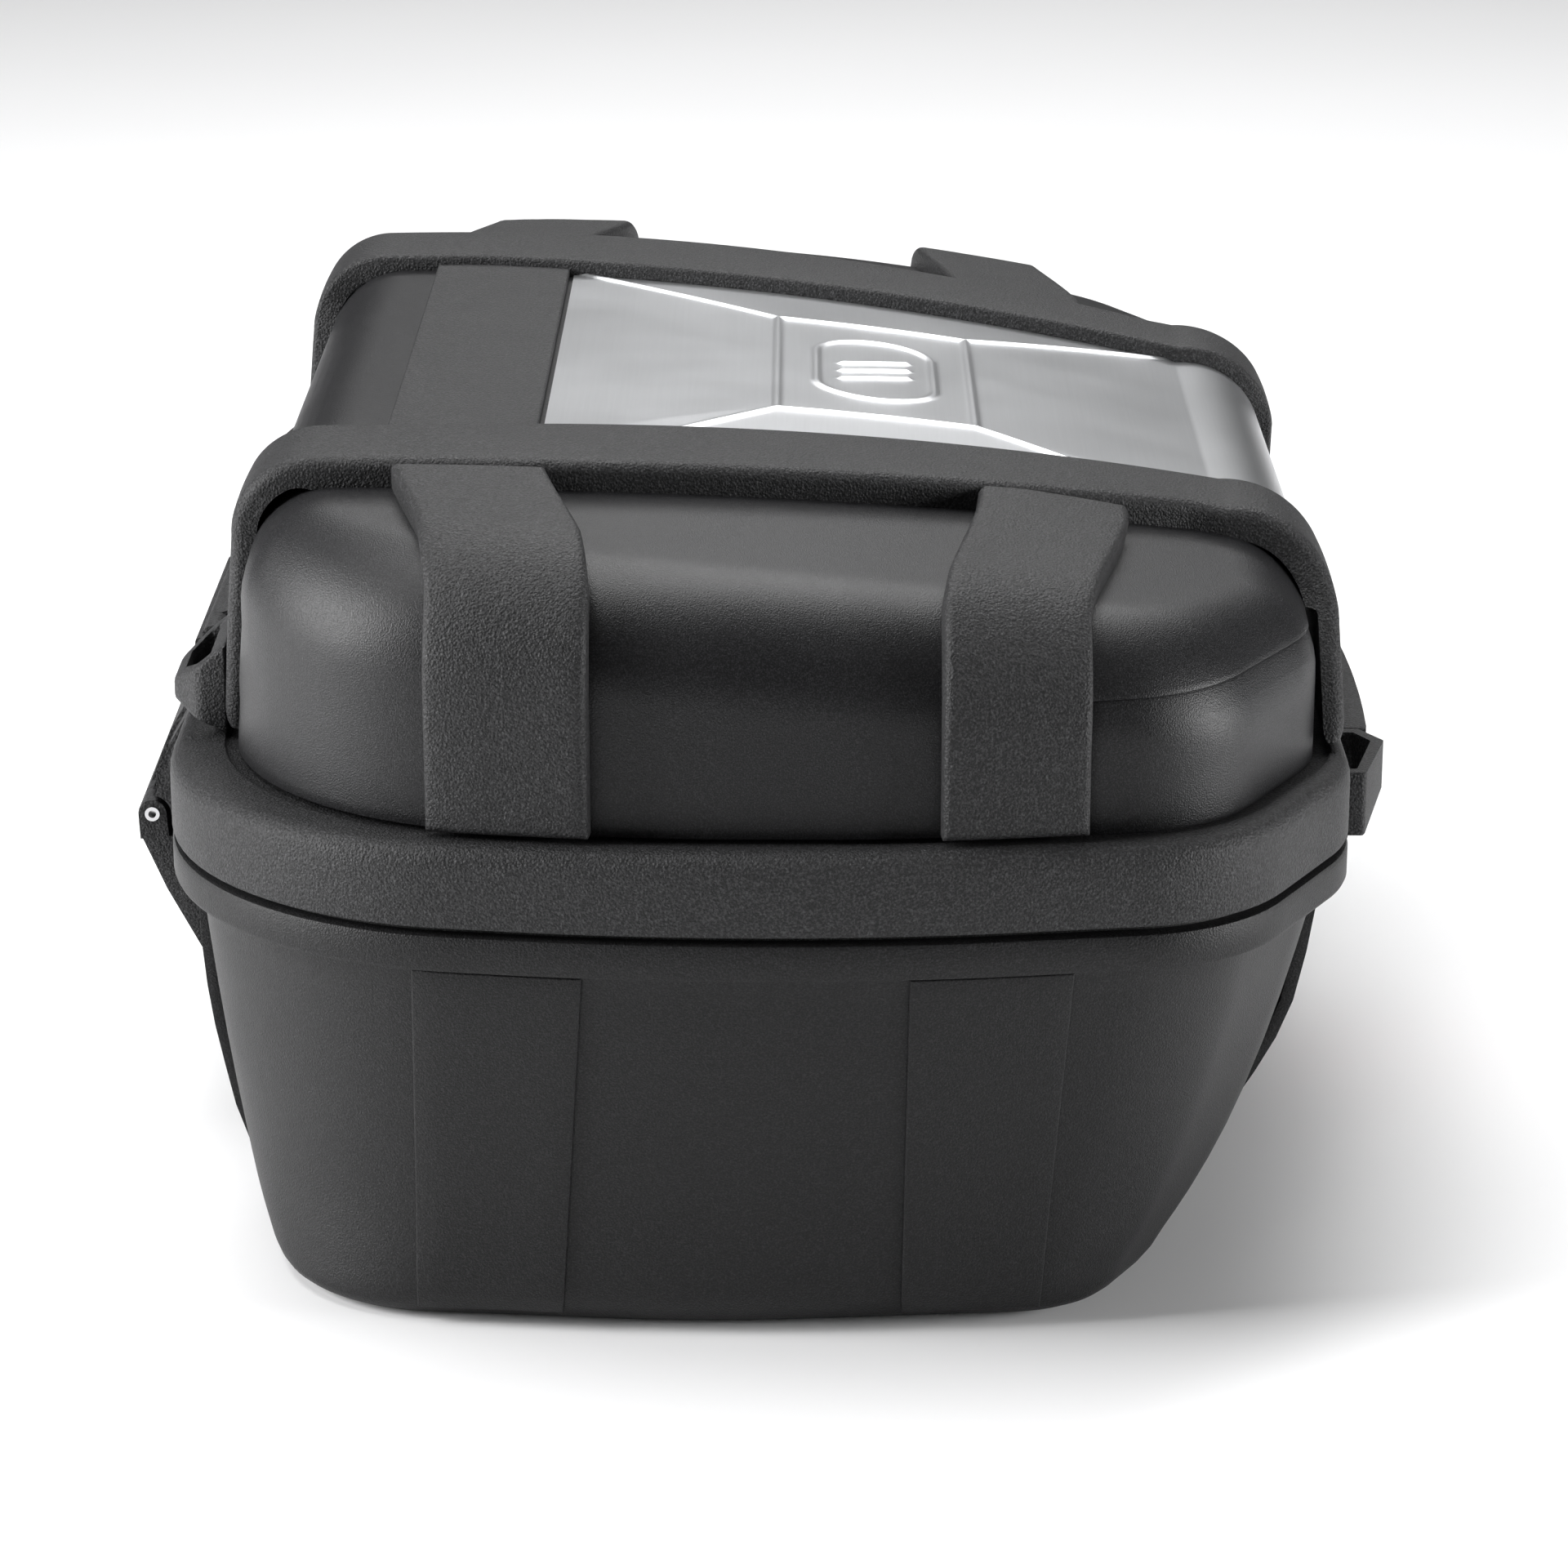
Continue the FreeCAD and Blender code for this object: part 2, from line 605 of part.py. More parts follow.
def carry_handle():
    """Grip with a bowed face between two arms that turn on short pins."""
    px, pz = HANDLE_PIVOT
    half = HANDLE_HALF
    bow = [(205.9, -half, 2), (205.9, half, 2), (197.4, half, 0), (197.4, -half, 0)]
    outer = prism_z(bow, 121, 139.5)
    swell = Part.Face(Part.Wire([
        Part.Arc(V(205.9, -half + 2, 121), V(207.5, 0, 121), V(205.9, half - 2, 121)).toShape(),
        Part.LineSegment(V(205.9, half - 2, 121), V(205.9, -half + 2, 121)).toShape(),
    ])).extrude(V(0, 0, 18.5))
    hollow = box(190, 202.2, -half + 4, half - 4, 100, 135.0)
    grip = joined([outer, swell]).cut(hollow)
    grip = grip.cut(prism_y([(197, 120, 0), (208, 120, 0), (208, 124, 0), (203, 120.5, 0)], -70, 70))
    arms = []
    for side in (-1, 1):
        y0, y1 = sorted((side * (HOUSING_HALF + 3.2), side * half))
        arm = prism_y([(px - 5.5, pz, 0), (px + 5.5, pz - 1, 0), (205.5, 124, 8), (205.5, 139, 0),
                       (197.6, 139, 0), (196.5, 122, 10)], y0, y1)
        arm = joined([arm, rod_y(px, pz, 5.5, y0, y1)])
        arms.append(arm)
    whole = joined([grip] + arms)
    return whole.cut(rod_y(px, pz, 3.0, -80, 80))


def handle_pins():
    px, pz = HANDLE_PIVOT
    pins = []
    for side in (-1, 1):
        y0, y1 = sorted((side * (HOUSING_HALF - 12), side * (HANDLE_HALF - 0.5)))
        pins.append(rod_y(px, pz, 3.0, y0, y1))
    return Part.makeCompound(pins)


def handle_loop(outside):
    """Strap loop beside the handle: a bent wall standing off the rim, open from top to bottom."""
    outer = [(180, 58.5, 0), (202.5, 58.5, 1.5), (209.9, 71, 2), (200.5, 105, 2), (180, 105, 0)]
    inner = [(190.5, 62.5, 1), (200.5, 62.5, 1), (205.4, 71.5, 1.5), (197.8, 101, 1), (190.5, 101, 1)]
    block = prism_z(outer, 118, 140)
    block = block.common(prism_y([(170, 140, 0), (170, 112, 0), (200, 118, 0), (210.5, 124, 1),
                                  (210.5, 140, 0)], 50, 110))
    block = block.cut(box(170, BELT[1] + 0.2, 50, 110, SEAM_Z - 0.1, 150))
    return block.cut(prism_z(inner, 100, 150)).cut(outside)


def rack_release_button():
    return prism_y([(187.5, 73.0, 0), (189.8, 73.0, 0), (197.6, 84, 3), (198.6, 89.0, 1),
                    (187.5, 89.0, 0)], -16.0, 16.0)


# ---- build -----------------------------------------------------------------

def build():
    outside = shell_outside()
    body = lid_body(0.0)
    save("lower_shell", lower_shell(outside))
    save("base_seal", base_seal())
    save("rack_plate", rack_plate())
    save("rack_plate_screws", rack_plate_screws())
    save("rack_catch", rack_catch())
    save("catch_housing", catch_housing())
    save("catch_end_plates", catch_end_plates())
    save("catch_spring", coil(0, 9.4, 39.0, 57.0, 3.2, 0.5, 5))

    save("hinge_lower_leaf", hinge_lower_leaf(outside))
    save("hinge_upper_leaf", hinge_upper_leaf())
    save("hinge_pin", hinge_pin())

    frame = lid_frame().cut(latch_window(0.0))
    save("lid_frame", frame)

    save("flap_shell", flap_shell(body))
    far_bar = bar(body, frame)
    near_bar = mirrored(far_bar)
    save("bar_far", far_bar)
    save("bar_near", near_bar)
    raised = crown_loft(-PAD_PROUD).common(prism_z(plan(*LID, inset=-PAD_PROUD), 150, 290))
    left_x = ((-97.0, -49.0), (-116.0, -68.0))
    right_x = ((56.0, 100.0), (69.0, 116.0))
    save("pad_far_left", pad(raised, body, far_bar, 1, *left_x))
    save("pad_far_right", pad(raised, body, far_bar, 1, *right_x))
    save("pad_near_left", mirrored(pad(raised, body, far_bar, 1, *left_x)))
    save("pad_near_right", mirrored(pad(raised, body, far_bar, 1, *right_x)))
    both_bars = [far_bar, near_bar]
    save("top_band", top_band(body).cut(both_bars))
    save("top_plate", top_plate(body).cut(both_bars))
    loop = strap_loop().cut(far_bar).cut(body)
    save("strap_loop_far", loop)
    save("strap_loop_near", mirrored(loop))

    save("flap_hinge_base", flap_hinge_base())
    save("flap_hinge_leaf", flap_hinge_leaf(body))
    save("flap_hinge_pin", rod_y(*FLAP_HINGE, FLAP_PIN_R, -59, 59))
    save("flap_latch_button", flap_latch_button())
    save("flap_latch_hook", flap_latch_hook())
    save("flap_keeper", flap_keeper())

    save("lock_housing", lock_housing(outside))
    save("lock_lever", lock_lever())
    save("lever_pin", rod_y(*LEVER_PIVOT, FLAP_PIN_R, -31, 31))
    save("lever_keeper", lever_keeper())
    save("lock_cylinder", lock_cylinder())
    save("lock_cam", lock_cam())
    save("carry_handle", carry_handle())
    save("handle_pins", handle_pins())
    save("handle_loop_far", handle_loop(outside))
    save("handle_loop_near", mirrored(handle_loop(outside)))
    save("rack_release_button", rack_release_button())


os.makedirs("parts", exist_ok=True)
build()
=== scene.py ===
import math

import bmesh
import bpy
import numpy as np
from bpy.props import FloatProperty, FloatVectorProperty, PointerProperty
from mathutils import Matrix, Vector


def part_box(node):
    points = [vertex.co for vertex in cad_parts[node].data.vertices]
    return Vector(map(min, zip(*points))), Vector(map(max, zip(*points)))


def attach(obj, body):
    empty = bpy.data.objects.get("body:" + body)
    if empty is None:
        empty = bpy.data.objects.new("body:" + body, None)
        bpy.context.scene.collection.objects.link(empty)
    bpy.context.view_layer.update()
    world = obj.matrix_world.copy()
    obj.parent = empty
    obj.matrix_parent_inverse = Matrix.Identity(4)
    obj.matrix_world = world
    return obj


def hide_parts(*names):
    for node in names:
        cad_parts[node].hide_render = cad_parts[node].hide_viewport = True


bl_info = {
    "name": "Rigid Side Case",
    "version": (1, 0, 0),
    "blender": (4, 5, 0),
    "location": "View3D > Sidebar > Side Case",
    "description": "Builds the detailed pieces and finishes of a rigid motorcycle side case",
    "category": "Object",
}

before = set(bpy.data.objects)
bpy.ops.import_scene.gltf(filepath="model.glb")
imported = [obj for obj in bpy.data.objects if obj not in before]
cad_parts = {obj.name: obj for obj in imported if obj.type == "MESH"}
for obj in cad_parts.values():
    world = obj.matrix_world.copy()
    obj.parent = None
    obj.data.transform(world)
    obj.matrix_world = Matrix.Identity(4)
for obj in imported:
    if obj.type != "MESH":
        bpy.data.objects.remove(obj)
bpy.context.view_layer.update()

MM = 0.001      # the shapes below are worked out in millimetres


def node_box(name):
    low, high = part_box(name)
    return np.array(low) / MM, np.array(high) / MM


# ---- sizes taken from the frame, in millimetres ----

SHELL_BOX = node_box("lower_shell")
SEAM_LOW = SHELL_BOX[1][2]                      # top of the lower shell's rim
SEAM_HIGH = node_box("lid_frame")[0][2]         # bottom of the lid's belt
FLAP_FOOT = node_box("flap_shell")[0][2]        # bottom of the flap's wall
LEDGE = FLAP_FOOT - 0.6                         # ledge that the flap closes on
BELT = (SHELL_BOX[0][0], SHELL_BOX[1][0], 271.0, 1.0)   # left side, right side, nose, roundness
LID = (-166.0, 178.0, 256.0, 1.0)
SHELL_LEVELS = (    # height, left side, right side, nose, roundness of the corners
    (0.0, -145.0, 105.5, 231.0, 0.62),
    (4.0, -153.0, 121.5, 238.0, 0.65),
    (14.0, -160.0, 134.0, 245.5, 0.85),
    (45.0, -169.0, 155.0, 250.0, 1.0),
    (128.0, -179.5, 180.0, 262.0, 1.0),
)
SHELL_WALL = 3.0
FLOOR_TOP = 7.4
RIM_LOW = SEAM_LOW - 12.0
CROWN_X, CROWN_Z, CROWN_R = -120.0, 263.0, 1400.0
WALL_Y = 250.5              # flat end walls of the lid
LID_LEFT = (-165.5, 0.081)  # left wall: place at WALL_FOOT and lean per millimetre up
LID_RIGHT = (180.5, 0.05)
WALL_FOOT = 150.0
SHOULDER_R = 33.0           # rounding of the lid's shoulder at its two ends
SIDE_TIGHTER = 7.0          # less than that on the left and right sides
SHOULDER_Y = (165.0, 222.0)     # where the one rounding passes into the other
LEG_BY_CHIN = 7.0           # depth of a bar's right leg where it must pass the chin
SINK = 2.4                  # how far a bar's left leg reaches into the lid
STEP_IN, STEP_OUT, STEP_WALL = 5.4, 9.8, 17.5   # drops below the bars' top
LID_DROP = 6.0              # lid below the bars over its left and right ends
CHIN_X, CHIN_TOP = 101.0, 208.0
GAP = 0.6                       # joint between the flap and the chin
ENDS = ((-1, "near"), (1, "far"))
BAND_X = (-119.0, -70.0)
PLATE_X = BAND_X[1] + 0.15
ARC_STEPS = (20, 22, 12, 12, 12, 12, 22, 20)
LINE_STEPS = (10, 8, 6, 24, 6, 8, 10, 26)


# ---- outlines ----

def at_corner(corners, i):
    """Corner i of a closed outline, with the directions into it and out of it."""
    here = Vector(corners[i][:2])
    into = (here - Vector(corners[i - 1][:2])).normalized()
    out = (Vector(corners[(i + 1) % len(corners)][:2]) - here).normalized()
    return here, into, out


def plan_corners(left, right, nose, roundness, inset):
    """Corners (x, y, radius) of the case's outline from above, moved inward by inset."""
    k = (right - left) / 375.0
    q = k * roundness
    near = [(left, -(nose - 27.0 * q), 109.0 * q), ((left + right) / 2 + 2.5, -nose, 560.0 * k),
        (right - 41.0 * q, -(nose - 20.3 * q), 60.0 * q), (right, -(nose - 93.3 * q), 60.0 * q)]
    corners = near + [(x, -y, r) for x, y, r in reversed(near)]
    moved = []
    for i, (x, y, r) in enumerate(corners):
        into, out = at_corner(corners, i)[1:]
        shift = inset / (1 + into.dot(out))
        moved.append((x - (into.y + out.y) * shift, y + (into.x + out.x) * shift, r - inset))
    return moved


def plan_ring(outline, inset=0.0):
    """Points round the outline; the same index is the same place on every outline."""
    corners = plan_corners(*outline, inset)
    arcs = []
    for i, corner in enumerate(corners):
        r = corner[2]
        here, into, out = at_corner(corners, i)
        turn = into.angle(out)
        start = here - into * (r * math.tan(turn / 2))
        centre = start + Vector((-into.y, into.x)) * r
        base = math.atan2(start.y - centre.y, start.x - centre.x)
        steps = ARC_STEPS[i]
        arcs.append([(centre.x + r * math.cos(base + turn * j / steps),
            centre.y + r * math.sin(base + turn * j / steps)) for j in range(steps + 1)])
    points = []
    for i, arc in enumerate(arcs):
        points += arc
        a, b = np.array(arc[-1]), np.array(arcs[(i + 1) % 8][0])
        for j in range(1, LINE_STEPS[i]):
            points.append(tuple(a + (b - a) * j / LINE_STEPS[i]))
    return np.array(points)


def round_outline(corners, grow=0.0, steps=6):
    """Closed outline through corners (x, y, radius), each rounded by an arc, widened by grow."""
    points = []
    middle = Vector((sum(c[0] for c in corners), sum(c[1] for c in corners))) / len(corners)
    for i, corner in enumerate(corners):
        here, into, out = at_corner(corners, i)
        reach = corner[2] * math.tan(into.angle(out) / 2)
        a, b = here - into * reach, here + out * reach
        for j in range(steps + 1):
            t = j / steps
            spot = a * (1 - t) ** 2 + here * 2 * t * (1 - t) + b * t * t
            points.append(spot + (spot - middle).normalized() * grow)
    return np.array(points)


def at_height(ring, z):
    return np.column_stack([ring, np.full(len(ring), float(z))])


def outward(ring):
    """Unit outward normals of a counter-clockwise ring."""
    along = np.roll(ring, -1, 0) - np.roll(ring, 1, 0)
    along /= np.linalg.norm(along, axis=1)[:, None]
    return np.column_stack([along[:, 1], -along[:, 0]])


def smooth_value(z, column):
    """Monotone cubic through one column of SHELL_LEVELS."""
    zs = [level[0] for level in SHELL_LEVELS]
    vs = [level[column] for level in SHELL_LEVELS]
    slopes = [(vs[i + 1] - vs[i]) / (zs[i + 1] - zs[i]) for i in range(len(zs) - 1)]
    ends = [slopes[0] * 1.6]
    ends += [2 * a * b / (a + b) if a * b > 0 else 0.0 for a, b in zip(slopes, slopes[1:])]
    ends.append(slopes[-1] * 0.8)
    i = max(0, min(len(slopes) - 1, sum(z >= level for level in zs) - 1))
    h = zs[i + 1] - zs[i]
    t = (z - zs[i]) / h
    return (vs[i] * (1 + 2 * t) * (1 - t) ** 2 + ends[i] * h * t * (1 - t) ** 2
        + vs[i + 1] * t * t * (3 - 2 * t) + ends[i + 1] * h * t * t * (t - 1))


def shell_outline(z):
    return tuple(smooth_value(z, column) for column in (1, 2, 3, 4))


def crown(x):
    return CROWN_Z - (x - CROWN_X) ** 2 / (2 * CROWN_R)


def bar_inner(x):
    return 121.5 - 0.1286 * np.maximum(0.0, np.minimum(x, 150.0) + 100.0)


def bar_outer(x):
    s = np.maximum(0.0, np.minimum(x, 145.0) + 75.0)
    return 164.8 - 0.055 * s - 0.00056 * s * s


def arc_through(a, b, c, steps):
    """Points on the circle through a, b and c, without the first."""
    ax, az, bx, bz, cx, cz = *a, *b, *c
    d = 2 * (ax * (bz - cz) + bx * (cz - az) + cx * (az - bz))
    sa, sb, sc = ax * ax + az * az, bx * bx + bz * bz, cx * cx + cz * cz
    ux = (sa * (bz - cz) + sb * (cz - az) + sc * (az - bz)) / d
    uz = (sa * (cx - bx) + sb * (ax - cx) + sc * (bx - ax)) / d
    r = math.hypot(ax - ux, az - uz)
    start = math.atan2(az - uz, ax - ux)
    turn = (math.atan2(cz - uz, cx - ux) - start) % (2 * math.pi)
    turn = turn - 2 * math.pi if turn > math.pi else turn
    angles = [start + turn * j / steps for j in range(1, steps + 1)]
    return [(ux + r * math.cos(angle), uz + r * math.sin(angle)) for angle in angles]


def run_to(a, b, steps):
    """Evenly spaced points from a to b, without the first."""
    return [(a[0] + (b[0] - a[0]) * (j / steps), a[1] + (b[1] - a[1]) * (j / steps))
        for j in range(1, steps + 1)]


def end_path(d, low=150.0, fine=1):
    """The lid's X-Z profile from the left foot over the crown to the right foot."""
    def wall(top, bottom, z):
        return (bottom[0] + (top[0] - bottom[0]) * (z - bottom[1]) / (top[1] - bottom[1]), z)
    left_foot, left_top = (-171.5 + d, 150.0), (-164.5 + d, 236 - 0.3 * d)
    right_top, right_foot = (185.5 - d, 206.0), (186.5 - d, 150.0)
    first, last = wall(left_top, left_foot, low), wall(right_top, right_foot, low)
    points = [first] + run_to(first, left_top, 10 * fine)
    points += arc_through(left_top, (-157 + 0.7 * d, 254.5 - 0.7 * d), (-138, 262.4 - d), 12 * fine)
    bend = (150 - 0.2 * d, 236.4 - d)
    points += arc_through((-138, 262.4 - d), (3.5, crown(3.5) - d), bend, 30 * fine)
    points += arc_through(bend, (175 - 0.7 * d, 227 - 0.7 * d), right_top, 14 * fine)
    points += run_to(right_top, last, 7 * fine)
    return np.array(points)


# ---- the lid's form as one field, negative inside ----

def half_planes(points):
    """Outward normals and offsets of a convex clockwise or counter-clockwise polygon."""
    ahead = np.roll(points, -1, 0) - points
    keep = np.linalg.norm(ahead, axis=1) > 1e-6
    ahead, base = ahead[keep], points[keep]
    normals = np.column_stack([ahead[:, 1], -ahead[:, 0]]) / np.linalg.norm(ahead, axis=1)[:, None]
    if ((base - points.mean(0)) * normals).sum(1).mean() < 0:
        normals = -normals
    return normals, (base * normals).sum(1)


def both(a, b, r):
    """Overlap of two fields with the edge between them rounded to radius r."""
    return np.minimum(np.maximum(a, b), -r) + np.hypot(np.maximum(a + r, 0), np.maximum(b + r, 0))


class LidForm:
    """The smooth lid, set inward by inset; hit() finds where rays leave it."""

    def __init__(self, inset):
        self.inset = inset
        self.plan = half_planes(plan_ring(LID, inset))

    def field(self, p):
        x, y, z = p[:, 0], np.abs(p[:, 1]), p[:, 2]
        d = self.inset
        plan = (p[:, :2] @ self.plan[0].T - self.plan[1]).max(1)
        left = LID_LEFT[0] + LID_LEFT[1] * (z - WALL_FOOT) + d - x
        right = x - LID_RIGHT[0] + LID_RIGHT[1] * (z - WALL_FOOT) + d
        wall = np.maximum(np.maximum(plan, y - (WALL_Y - d)), np.maximum(left, right))
        inner, outer = bar_inner(x), bar_outer(x)
        across = np.clip((y - inner) / (outer - inner), 0, 1)
        drop = np.where(y < outer, STEP_IN + (STEP_OUT - STEP_IN) * across,
            STEP_OUT + (STEP_WALL - STEP_OUT) * (y - outer) / (WALL_Y - outer))
        under_plate = np.interp(x, (-100.0, -60.0, 40.0, 110.0), (0.0, 0.8, 0.8, 2.0))
        roof = (z - crown(x) + d + np.maximum(drop, LID_DROP + under_plate)) * 0.99
        at_side = np.clip((SHOULDER_Y[1] - y) / (SHOULDER_Y[1] - SHOULDER_Y[0]), 0, 1)
        turn = SHOULDER_R - SIDE_TIGHTER * at_side * at_side * (3 - 2 * at_side) - d
        return both(wall, roof, turn)

    def hit(self, start, ahead, reach=160.0):
        near, far = np.zeros(len(start)), np.full(len(start), reach)
        for _ in range(20):
            middle = (near + far) / 2
            inside = self.field(start + ahead * middle[:, None]) < 0
            near, far = np.where(inside, middle, near), np.where(inside, far, middle)
        return start + ahead * near[:, None]

    def normal(self, p):
        step = 0.4
        slope = np.column_stack([self.field(p + step * axis) - self.field(p - step * axis)
            for axis in np.eye(3)])
        return slope / np.linalg.norm(slope, axis=1)[:, None]


# ---- mesh building ----

def ring_faces(count, rings, closed_rings=False):
    """Quads between rings of count points each."""
    faces = []
    for i in range(rings if closed_rings else rings - 1):
        a, b = i * count, ((i + 1) % rings) * count
        for j in range(count):
            k = (j + 1) % count
            faces.append((a + j, a + k, b + k, b + j))
    return faces


def grid_faces(rows, columns):
    return [(i * columns + j, i * columns + j + 1, (i + 1) * columns + j + 1, (i + 1) * columns + j)
        for i in range(rows - 1) for j in range(columns - 1)]


def new_mesh(name, points, faces):
    mesh = bpy.data.meshes.new(name)
    mesh.from_pydata((np.asarray(points, float) * MM).tolist(), [], faces)
    bm = bmesh.new()
    bm.from_mesh(mesh)
    bmesh.ops.remove_doubles(bm, verts=bm.verts, dist=2e-6)
    bmesh.ops.dissolve_degenerate(bm, edges=bm.edges, dist=1e-6)
    bmesh.ops.recalc_face_normals(bm, faces=bm.faces)
    bm.to_mesh(mesh)
    bm.free()
    return mesh


def new_object(name, mesh):
    piece = bpy.data.objects.new(name, mesh)
    bpy.context.scene.collection.objects.link(piece)
    return piece


def apply_modifiers(piece):
    bpy.context.view_layer.update()
    shaped = piece.evaluated_get(bpy.context.evaluated_depsgraph_get())
    old = piece.data
    piece.data = bpy.data.meshes.new_from_object(shaped)
    piece.modifiers.clear()
    bpy.data.meshes.remove(old)


def add_bevel(piece, width, segments=3, angle=30.0):
    bevel = piece.modifiers.new("edge_rounding", "BEVEL")
    bevel.width = width * MM
    bevel.segments = segments
    bevel.limit_method = "ANGLE"
    bevel.angle_limit = math.radians(angle)
    bevel.miter_outer = "MITER_ARC"
    bevel.use_clamp_overlap = True


def place(piece, body, slot_name, nodes=(), crease=38.0):
    """Applies what is left to apply, smooths the shading and ties the piece to the frame."""
    if piece.modifiers:
        apply_modifiers(piece)
    piece.data.materials.clear()
    piece.data.materials.append(finish_for(slot_name))
    piece.data.shade_smooth()
    piece.data.set_sharp_from_angle(angle=math.radians(crease))
    if not len(piece.data.polygons):
        raise RuntimeError(piece.name + " has no faces")
    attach(piece, body)
    if nodes:
        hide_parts(*nodes)
    return piece


def loft_piece(name, rings, closed=False, caps=()):
    """Mesh through rings of equal count; caps fills the first or last ring with a face."""
    count = len(rings[0])
    faces = ring_faces(count, len(rings), closed)
    if 0 in caps:
        faces.append(tuple(reversed(range(count))))
    if -1 in caps:
        faces.append(tuple(range((len(rings) - 1) * count, len(rings) * count)))
    return new_object(name, new_mesh(name, np.vstack(rings), faces))


def edge_steps(rounding, height, sink):
    """Inset and height of the rows that round a raised panel's edge."""
    steps = [(0.0, -sink), (0.0, height - rounding)]
    for angle in (22.5, 45.0, 67.5, 90.0):
        a = math.radians(angle)
        steps.append((rounding * (1 - math.cos(a)), height - rounding + rounding * math.sin(a)))
    return steps


def stations(length, rounding, height, sink, spacing):
    """Places from 0 to length with the height of each, close together at both edges."""
    edge = edge_steps(rounding, height, sink)
    inner = max(2, int((length - 2 * rounding) / spacing))
    places = list(edge)
    places += [(rounding + (length - 2 * rounding) * j / inner, height) for j in range(1, inner)]
    places += [(length - a, h) for a, h in reversed(edge)]
    return places


def raised_panel(name, surface, span_u, span_v, rounding, height, sink, spacing_u, spacing_v):
    """Closed plate on surface(u, v), which takes shares from 0 to 1 and gives points, normals."""
    us = stations(span_u, rounding, height, sink, spacing_u)
    vs = stations(span_v, rounding, height, sink, spacing_v)
    u = np.array([p[0] / span_u for p in us])
    v = np.array([p[0] / span_v for p in vs])
    lift = np.minimum.outer(np.array([p[1] for p in vs]), np.array([p[1] for p in us]))
    grid_u, grid_v = np.meshgrid(u, v)
    points, normals = surface(grid_u.ravel(), grid_v.ravel())
    top = points + normals * lift.ravel()[:, None]
    bottom = points - normals * sink
    rows, columns = len(v), len(u)
    faces = grid_faces(rows, columns)
    under = [tuple(reversed([i + rows * columns for i in f])) for f in grid_faces(rows, columns)]
    return new_object(name, new_mesh(name, np.vstack([top, bottom]), faces + under))


def solid_along_y(name, outline, y0, y1, stops=2):
    """Prism along Y from an X-Z outline."""
    rings = [[(x, y0 + (y1 - y0) * i / (stops - 1), z) for x, z in outline] for i in range(stops)]
    return loft_piece(name, [np.array(r) for r in rings], caps=(0, -1))


def rod(name, base, axis, radius, length, sides=48):
    """Closed round bar with its first face at base."""
    axis = Vector(axis).normalized()
    u = axis.orthogonal().normalized()
    w = axis.cross(u)
    rings = []
    for along in (0.0, length):
        rings.append(np.array([Vector(base) + axis * along + radius * (
            u * math.cos(2 * math.pi * j / sides) + w * math.sin(2 * math.pi * j / sides))
            for j in range(sides)]))
    return loft_piece(name, rings, caps=(0, -1))


def slab(name, low, high):
    x0, y0, z0 = low
    x1, y1, z1 = high
    return solid_along_y(name, [(x0, z0), (x1, z0), (x1, z1), (x0, z1)], y0, y1)


def combine(piece, tools, operation):
    """Adds or takes away closed shapes, then deletes them."""
    for tool in tools:
        cut = piece.modifiers.new(operation.lower(), "BOOLEAN")
        cut.operation = operation
        cut.object = tool
        cut.solver = "EXACT"
    apply_modifiers(piece)
    for tool in tools:
        bpy.data.objects.remove(tool)


def drop_faces(piece, planes, test):
    """Splits the mesh on planes and deletes the faces whose middle passes test, in millimetres."""
    bm = bmesh.new()
    bm.from_mesh(piece.data)
    for point, normal in planes:
        everything = bm.verts[:] + bm.edges[:] + bm.faces[:]
        bmesh.ops.bisect_plane(bm, geom=everything, plane_co=Vector(point) * MM,
            plane_no=Vector(normal), dist=1e-7)
    doomed = [f for f in bm.faces if test(*(f.calc_center_median() / MM))]
    bmesh.ops.delete(bm, geom=doomed, context="FACES")
    bm.to_mesh(piece.data)
    bm.free()


def thicken(piece, thickness, edge=0.5):
    solid = piece.modifiers.new("wall", "SOLIDIFY")
    solid.thickness = thickness * MM
    solid.offset = -1.0
    solid.use_even_offset = True
    solid.use_rim = True
    if edge:
        add_bevel(piece, edge, 2, 50.0)


def softened(node, name, width, segments=3, angle=28.0):
    """A fresh mesh of a hard moulding with its edges rounded as a tool would leave them."""
    bm = bmesh.new()
    bm.from_mesh(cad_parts[node].data)
    bmesh.ops.remove_doubles(bm, verts=bm.verts, dist=2e-6)
    bmesh.ops.dissolve_limit(bm, angle_limit=math.radians(0.8), verts=bm.verts, edges=bm.edges)
    bmesh.ops.recalc_face_normals(bm, faces=bm.faces)
    mesh = bpy.data.meshes.new(name)
    bm.to_mesh(mesh)
    bm.free()
    piece = new_object(name, mesh)
    add_bevel(piece, width, segments, angle)
    return piece


# ---- finishes ----

def node_of(tree, kind, **values):
    node = tree.nodes.new(kind)
    for key, value in values.items():
        if hasattr(node, key):
            setattr(node, key, value)
        else:
            node.inputs[key.replace("_", " ")].default_value = value
    return node


def start_finish(name, colour, roughness, metallic=0.0):
    made = bpy.data.materials.new(name)
    made.use_nodes = True
    tree = made.node_tree
    shader = tree.nodes["Principled BSDF"]
    shader.inputs["Metallic"].default_value = metallic
    shader.inputs["Roughness"].default_value = roughness
    shader.inputs["Base Color"].default_value = (*colour, 1.0)
    place_in = tree.nodes.new("ShaderNodeTexCoord")
    return made, tree, shader, place_in.outputs["Object"]


def stretched(tree, coordinates, scale):
    mapping = tree.nodes.new("ShaderNodeMapping")
    mapping.inputs["Scale"].default_value = scale
    tree.links.new(coordinates, mapping.inputs["Vector"])
    return mapping.outputs["Vector"]


